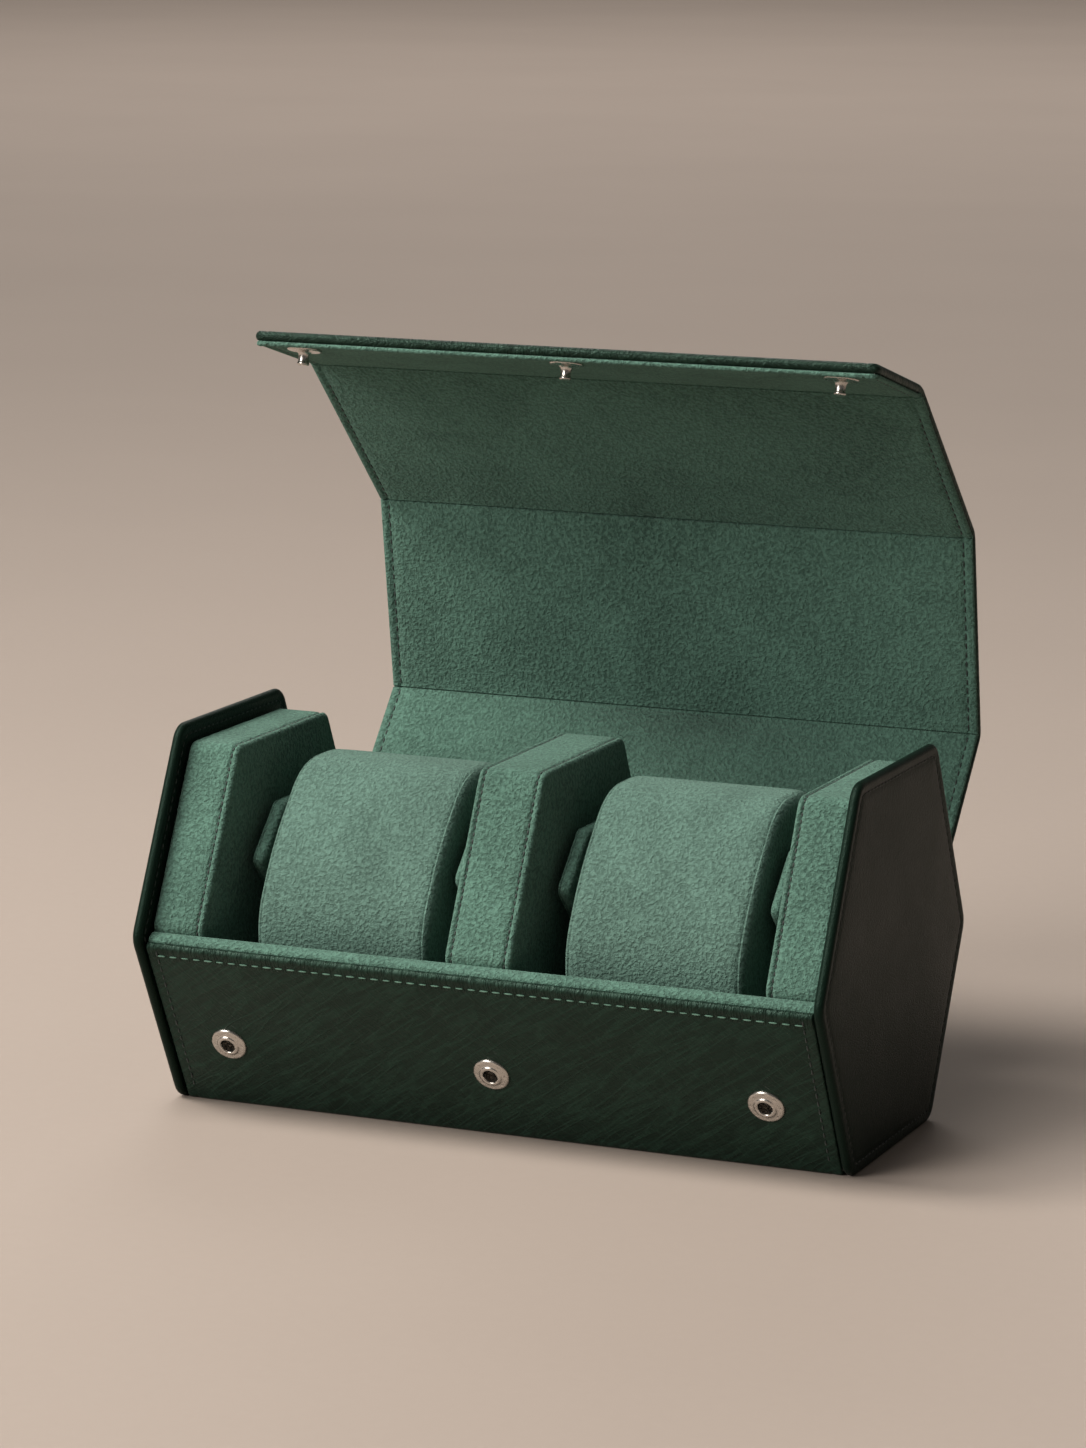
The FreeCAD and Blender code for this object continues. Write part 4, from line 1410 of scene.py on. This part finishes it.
def stitch_tree():
    """Geometry Nodes: stitches along the edges of a path, which carries the direction out of the sheet."""
    tree, given = new_tree("stitch_rows", Pitch="Float", Stitch="Float", Thread="Float", Seed="Int")
    add, link = tree.nodes.new, tree.links.new
    curve, even = add("GeometryNodeMeshToCurve"), add("GeometryNodeResampleCurve")
    even.mode = "LENGTH"
    link(given["Geometry"], curve.inputs[0])
    link(curve.outputs[0], even.inputs["Curve"])
    link(given["Pitch"], even.inputs["Length"])
    kinds = ("MeshUVSphere", "Transform", "SetShadeSmooth")
    bead, turn, smooth = (add("GeometryNode" + kind) for kind in kinds)
    for key, value in (("Segments", 8), ("Rings", 5), ("Radius", 0.5)):
        bead.inputs[key].default_value = value
    turn.inputs["Rotation"].default_value = (0, math.pi / 2, 0)
    link(bead.outputs["Mesh"], turn.inputs["Geometry"])
    link(turn.outputs[0], smooth.inputs[0])
    out, tangent = add("GeometryNodeInputNamedAttribute"), add("GeometryNodeInputTangent")
    axes = add("FunctionNodeAxesToRotation")
    out.data_type = "FLOAT_VECTOR"
    out.inputs["Name"].default_value = "out"
    axes.primary_axis, axes.secondary_axis = "X", "Z"
    link(tangent.outputs[0], axes.inputs[0])
    link(out.outputs[0], axes.inputs[1])
    size, vary = add("ShaderNodeCombineXYZ"), add("FunctionNodeRandomValue")
    scale = add("ShaderNodeVectorMath")
    for place, key in enumerate(("Stitch", "Thread", "Thread")):
        link(given[key], size.inputs[place])
    vary.data_type = "FLOAT"
    vary.inputs[2].default_value, vary.inputs[3].default_value = 0.88, 1.08
    link(given["Seed"], vary.inputs["Seed"])
    scale.operation = "SCALE"
    link(size.outputs[0], scale.inputs[0])
    link(vary.outputs[1], scale.inputs["Scale"])
    copies = copied(tree, given, even.outputs[0], smooth.outputs[0])
    link(axes.outputs[0], copies["Rotation"])
    link(scale.outputs[0], copies["Scale"])
    return tree


def path_mesh(name, rows):
    """Edges of stitch rows: each row is its points, the way out of the sheet, and whether it closes."""
    verts, edges, outs = [], [], []
    for points, out, closed in rows:
        first = len(verts)
        verts += [tuple(np.asarray(p) * MM) for p in points]
        outs += list(out) if np.ndim(out) == 2 else [out] * len(points)
        edges += [(first + i, first + i + 1) for i in range(len(points) - 1)]
        if closed:
            edges.append((len(verts) - 1, first))
    mesh = bpy.data.meshes.new(name)
    mesh.from_pydata(verts, edges, [])
    layer = mesh.attributes.new("out", "FLOAT_VECTOR", "POINT")
    layer.data.foreach_set("vector", np.asarray(outs, np.float32).ravel())
    source = bpy.data.objects.new(name, mesh)
    bpy.context.scene.collection.objects.link(source)
    return source


class WATCHCASE_OT_stitching(bpy.types.Operator):
    """Rows of stitches on the end panels, the front wall and the lid"""
    bl_idname = "watchcase.stitching"
    bl_label = "Stitching"

    def execute(self, context):
        s, t = sizes_of(context), stitching_of(context)
        self.tree = stitch_tree()
        section = Section(s)
        self.end_panels(context, section, s, t)
        self.front_wall(context, section, s, t)
        self.pads(context, section, s, t)
        self.lid(context, s, t)
        return {"FINISHED"}

    def sew(self, context, name, rows, thread_name, body, t, size=None, slot="green_leather"):
        pitch, stitch = size or (t.fine_pitch, t.fine_stitch)
        inputs = {"Pitch": pitch * MM, "Stitch": stitch * MM, "Thread": t.thread * MM, "Seed": t.seed,
                  "Material": finish(context, thread_name)}
        piece = grown(path_mesh(name + "_path", rows), self.tree, inputs, name)
        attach(piece, body)

    def end_panels(self, context, section, s, t):
        line = outline(section.evenly(t.margin), [s.corner_radius - t.margin * 0.8] * 6, 10, 6)
        inside = s.half_length - s.panel_thickness
        rows = []
        for sign in (-1, 1):
            rows.append((at_x(line, sign * (inside + 2.6)), (sign, 0, 0), True))
            rows.append((at_x(line, sign * (inside + 0.46)), (-sign, 0, 0), True))
        self.sew(context, "end_panel_stitches", rows, "dark_thread", "case", t)

    def front_wall(self, context, section, s, t):
        along = section.along("front_lower")
        out = (0, *outside(along))
        sunk = inward(along) * (s.rim_proud + 0.06)
        top = section.corners[5] + along * (s.wall_drop + t.margin) + sunk
        foot = section.corners[0] - along * 5 + sunk
        side = s.wrap_half - 3.0
        across = [(x, *top) for x in (-side + 1.2, side - 1.2)]
        self.sew(context, "front_top_stitches", [(across, out, False)], "light_thread", "case", t,
                 (t.pitch, t.stitch))
        rows = [([(x, *(top - along * 0.6)), (x, *foot)], out, False) for x in (-side, side)]
        self.sew(context, "front_side_stitches", rows, "dark_thread", "case", t)

    def pads(self, context, section, s, t):
        """Seams beside the rolled edges of pads and divider."""
        line = pad_line(section, s, 0.55)
        line = line[line[:, 1] > 8]
        first = int(np.argmax(np.linalg.norm(np.diff(line, axis=0), axis=1))) + 1
        line = np.roll(line, -first, axis=0)
        along = np.gradient(line, axis=0)
        outs = np.column_stack([np.zeros(len(line)), along[:, 1], -along[:, 0]])
        end, middle = s.pad_face + SEAM_DEPTH, s.divider_half - SEAM_DEPTH
        rows = [(at_x(line, x), outs, False) for x in (-end, end, middle, -middle)]
        self.sew(context, "pad_seam_stitches", rows, "dark_thread", "case", t,
                 (t.seam_pitch, t.seam_stitch), "green_suede")

    def lid(self, context, s, t):
        lid = Lid(s)
        lining = -s.leather / 2 - s.lid_board - s.lining + 0.22
        inner, outer = s.lining_half - 2.6, s.lid_half - 3.2
        for level, name in enumerate(PANELS):
            start, end, way = lid.run(level)
            start, end = start + way * 1.0, end - way * (1.0 if name != "flap" else 3.2)
            out = outside(way)
            rows = []
            sunk = out * (s.leather / 2 - 0.04)
            for x in (-outer, outer):
                rows.append(([(x, *(p + sunk)) for p in (start, end)], (0, *out), False))
            if name == "flap":
                edge = end + out * (s.leather / 2)
                rows.append(([(x, *edge) for x in (-outer + 2, outer - 2)], (0, *out), False))
            if name == "lid_front":
                end = end - way * (FRONT_BAND - s.fold_lap + 0.4)
            for x in (-inner, inner):
                rows.append(([(x, *(p + out * lining)) for p in (start, end)], (0, *(-out)), False))
            self.sew(context, name + "_stitches", rows, "dark_thread", name, t)


# Boards papered like the lining: an edge shows behind the pillows, or beside the flap when it is bent back.
PAPERED = ("back_board", "lid_front_board")


class WATCHCASE_OT_stiffeners(bpy.types.Operator):
    """Finishes of the boards, cores and hidden metal that come with the solids"""
    bl_idname = "watchcase.stiffeners"
    bl_label = "Boards and cores"

    def execute(self, context):
        slots = {part["node"]: part["material_slot"] for part in frame["record"]["subparts"]}
        names = {"grey_board": "board", "white_foam": "foam", "snap_steel": "steel", "spring_wire": "wire"}
        for node, piece in frame["nodes"].items():
            if not piece.hide_render:
                if slots[node] not in names:
                    raise RuntimeError("no finish for " + node)
                name = "lining_suede" if node in PAPERED else names[slots[node]]
                piece.data.materials.clear()
                piece.data.materials.append(finish(context, name))
        return {"FINISHED"}


# Stage

class WATCHCASE_OT_stage(bpy.types.Operator):
    """Pale floor, soft light and the camera"""
    bl_idname = "watchcase.stage"
    bl_label = "Stage"

    def execute(self, context):
        scene = context.scene
        stage = scene.watch_case_stage
        self.floor(scene)
        self.lights(scene, stage)
        self.camera(scene, stage)
        scene.view_settings.view_transform = "Standard"
        return {"FINISHED"}

    def floor(self, scene):
        f = Finish("pale_floor")
        tone = tuple(scene.watch_case_finishes.floor)
        flat = f.coords("Object")
        patches = f.noise(flat, 3.0, 4)
        grit = f.noise(flat, 260, 3)
        f.tint(f.mixed((patches, 0.7), (grit, 0.3)), shade(tone, 0.93), shade(tone, 1.06))
        f.relief((grit, 0.12, 0.3))
        f.base(roughness=0.72, specular_ior_level=0.25)
        mesh = bpy.data.meshes.new("pale_floor")
        mesh.from_pydata([(-15, -15, 0), (15, -15, 0), (15, 15, 0), (-15, 15, 0)], [], [(0, 1, 2, 3)])
        mesh.materials.append(f.material)
        floor = bpy.data.objects.new("pale_floor", mesh)
        scene.collection.objects.link(floor)

    def lights(self, scene, stage):
        world = bpy.data.worlds.new("soft_room")
        world.use_nodes = True
        backdrop = world.node_tree.nodes["Background"]
        backdrop.inputs["Color"].default_value = (1.0, 0.95, 0.89, 1)
        backdrop.inputs["Strength"].default_value = stage.ambient
        scene.world = world
        lamps = (
            ("key_light", stage.key_power, (-1.05, -0.55, 1.55), (0, 0, 0.08), 0.7, (1.0, 0.95, 0.88)),
            ("top_light", stage.fill_power, (-0.3, -0.45, 1.6), (0, 0, 0.08), 0.8, (1.0, 0.97, 0.93)),
            ("back_light", stage.back_power, (-1.8, 4.2, 3.2), (-1.8, 4.2, 0), 3.0, (1.0, 0.96, 0.92)),
        )
        even = bpy.data.lights.new("room_light", "SUN")
        even.energy, even.angle, even.color = stage.room_power, math.radians(28), (1.0, 0.96, 0.91)
        holder = bpy.data.objects.new("room_light", even)
        holder.rotation_euler = Vector((0.5, 0.8, -0.45)).to_track_quat("-Z", "Y").to_euler()
        scene.collection.objects.link(holder)
        for name, power, place, aim, size, tone in lamps:
            lamp = bpy.data.lights.new(name, "AREA")
            lamp.energy, lamp.size, lamp.color = power, size, tone
            lamp.shape = "DISK"
            holder = bpy.data.objects.new(name, lamp)
            holder.location = place
            holder.rotation_euler = (Vector(aim) - Vector(place)).to_track_quat("-Z", "Y").to_euler()
            scene.collection.objects.link(holder)

    def camera(self, scene, stage):
        az, el = stage.azimuth, stage.elevation
        back = Vector((math.sin(az) * math.cos(el), -math.cos(az) * math.cos(el), math.sin(el)))
        right = Vector((math.cos(az), math.sin(az), 0))
        up = back.cross(right)
        c, r = math.cos(stage.roll), math.sin(stage.roll)
        axes = Matrix((right * c + up * r, up * c - right * r, back)).transposed()
        lens = bpy.data.cameras.new("photo_camera")
        lens.sensor_width, lens.lens = 36, stage.lens
        lens.clip_start, lens.clip_end = 0.05, 60
        camera = bpy.data.objects.new("photo_camera", lens)
        camera.location = Vector(stage.target) + back * stage.distance
        camera.rotation_euler = axes.to_euler()
        scene.collection.objects.link(camera)
        scene.camera = camera


OPERATORS = (
    WATCHCASE_OT_stage, WATCHCASE_OT_end_panels, WATCHCASE_OT_wrap, WATCHCASE_OT_pads, WATCHCASE_OT_pillows,
    WATCHCASE_OT_pillow_plates, WATCHCASE_OT_lid_leather, WATCHCASE_OT_lid_lining, WATCHCASE_OT_press_studs,
    WATCHCASE_OT_stitching, WATCHCASE_OT_stiffeners,
)


class WATCHCASE_PT_panel(bpy.types.Panel):
    """Sizes, finishes and steps of the watch case"""
    bl_idname = "WATCHCASE_PT_panel"
    bl_label = "Watch case"
    bl_space_type = "VIEW_3D"
    bl_region_type = "UI"
    bl_category = "Watch Case"

    def draw(self, context):
        for group, kind in GROUPS.items():
            box = self.layout.box()
            for name in kind.__annotations__:
                box.prop(getattr(context.scene, group), name)
        for step in OPERATORS:
            self.layout.operator(step.bl_idname)


GROUPS = {
    "watch_case_sizes": WatchCaseSizes, "watch_case_stitching": WatchCaseStitching,
    "watch_case_finishes": WatchCaseFinishes, "watch_case_stage": WatchCaseStage,
}


def register():
    for kind in (*GROUPS.values(), *OPERATORS, WATCHCASE_PT_panel):
        bpy.utils.register_class(kind)
    for name, kind in GROUPS.items():
        setattr(bpy.types.Scene, name, PointerProperty(type=kind))


def unregister():
    for name in GROUPS:
        delattr(bpy.types.Scene, name)
    for kind in (WATCHCASE_PT_panel, *reversed(OPERATORS), *reversed(GROUPS.values())):
        bpy.utils.unregister_class(kind)


def main():
    register()
    for step in OPERATORS:
        getattr(bpy.ops.watchcase, step.bl_idname.split(".")[1])()


if __name__ == "__main__":
    main()
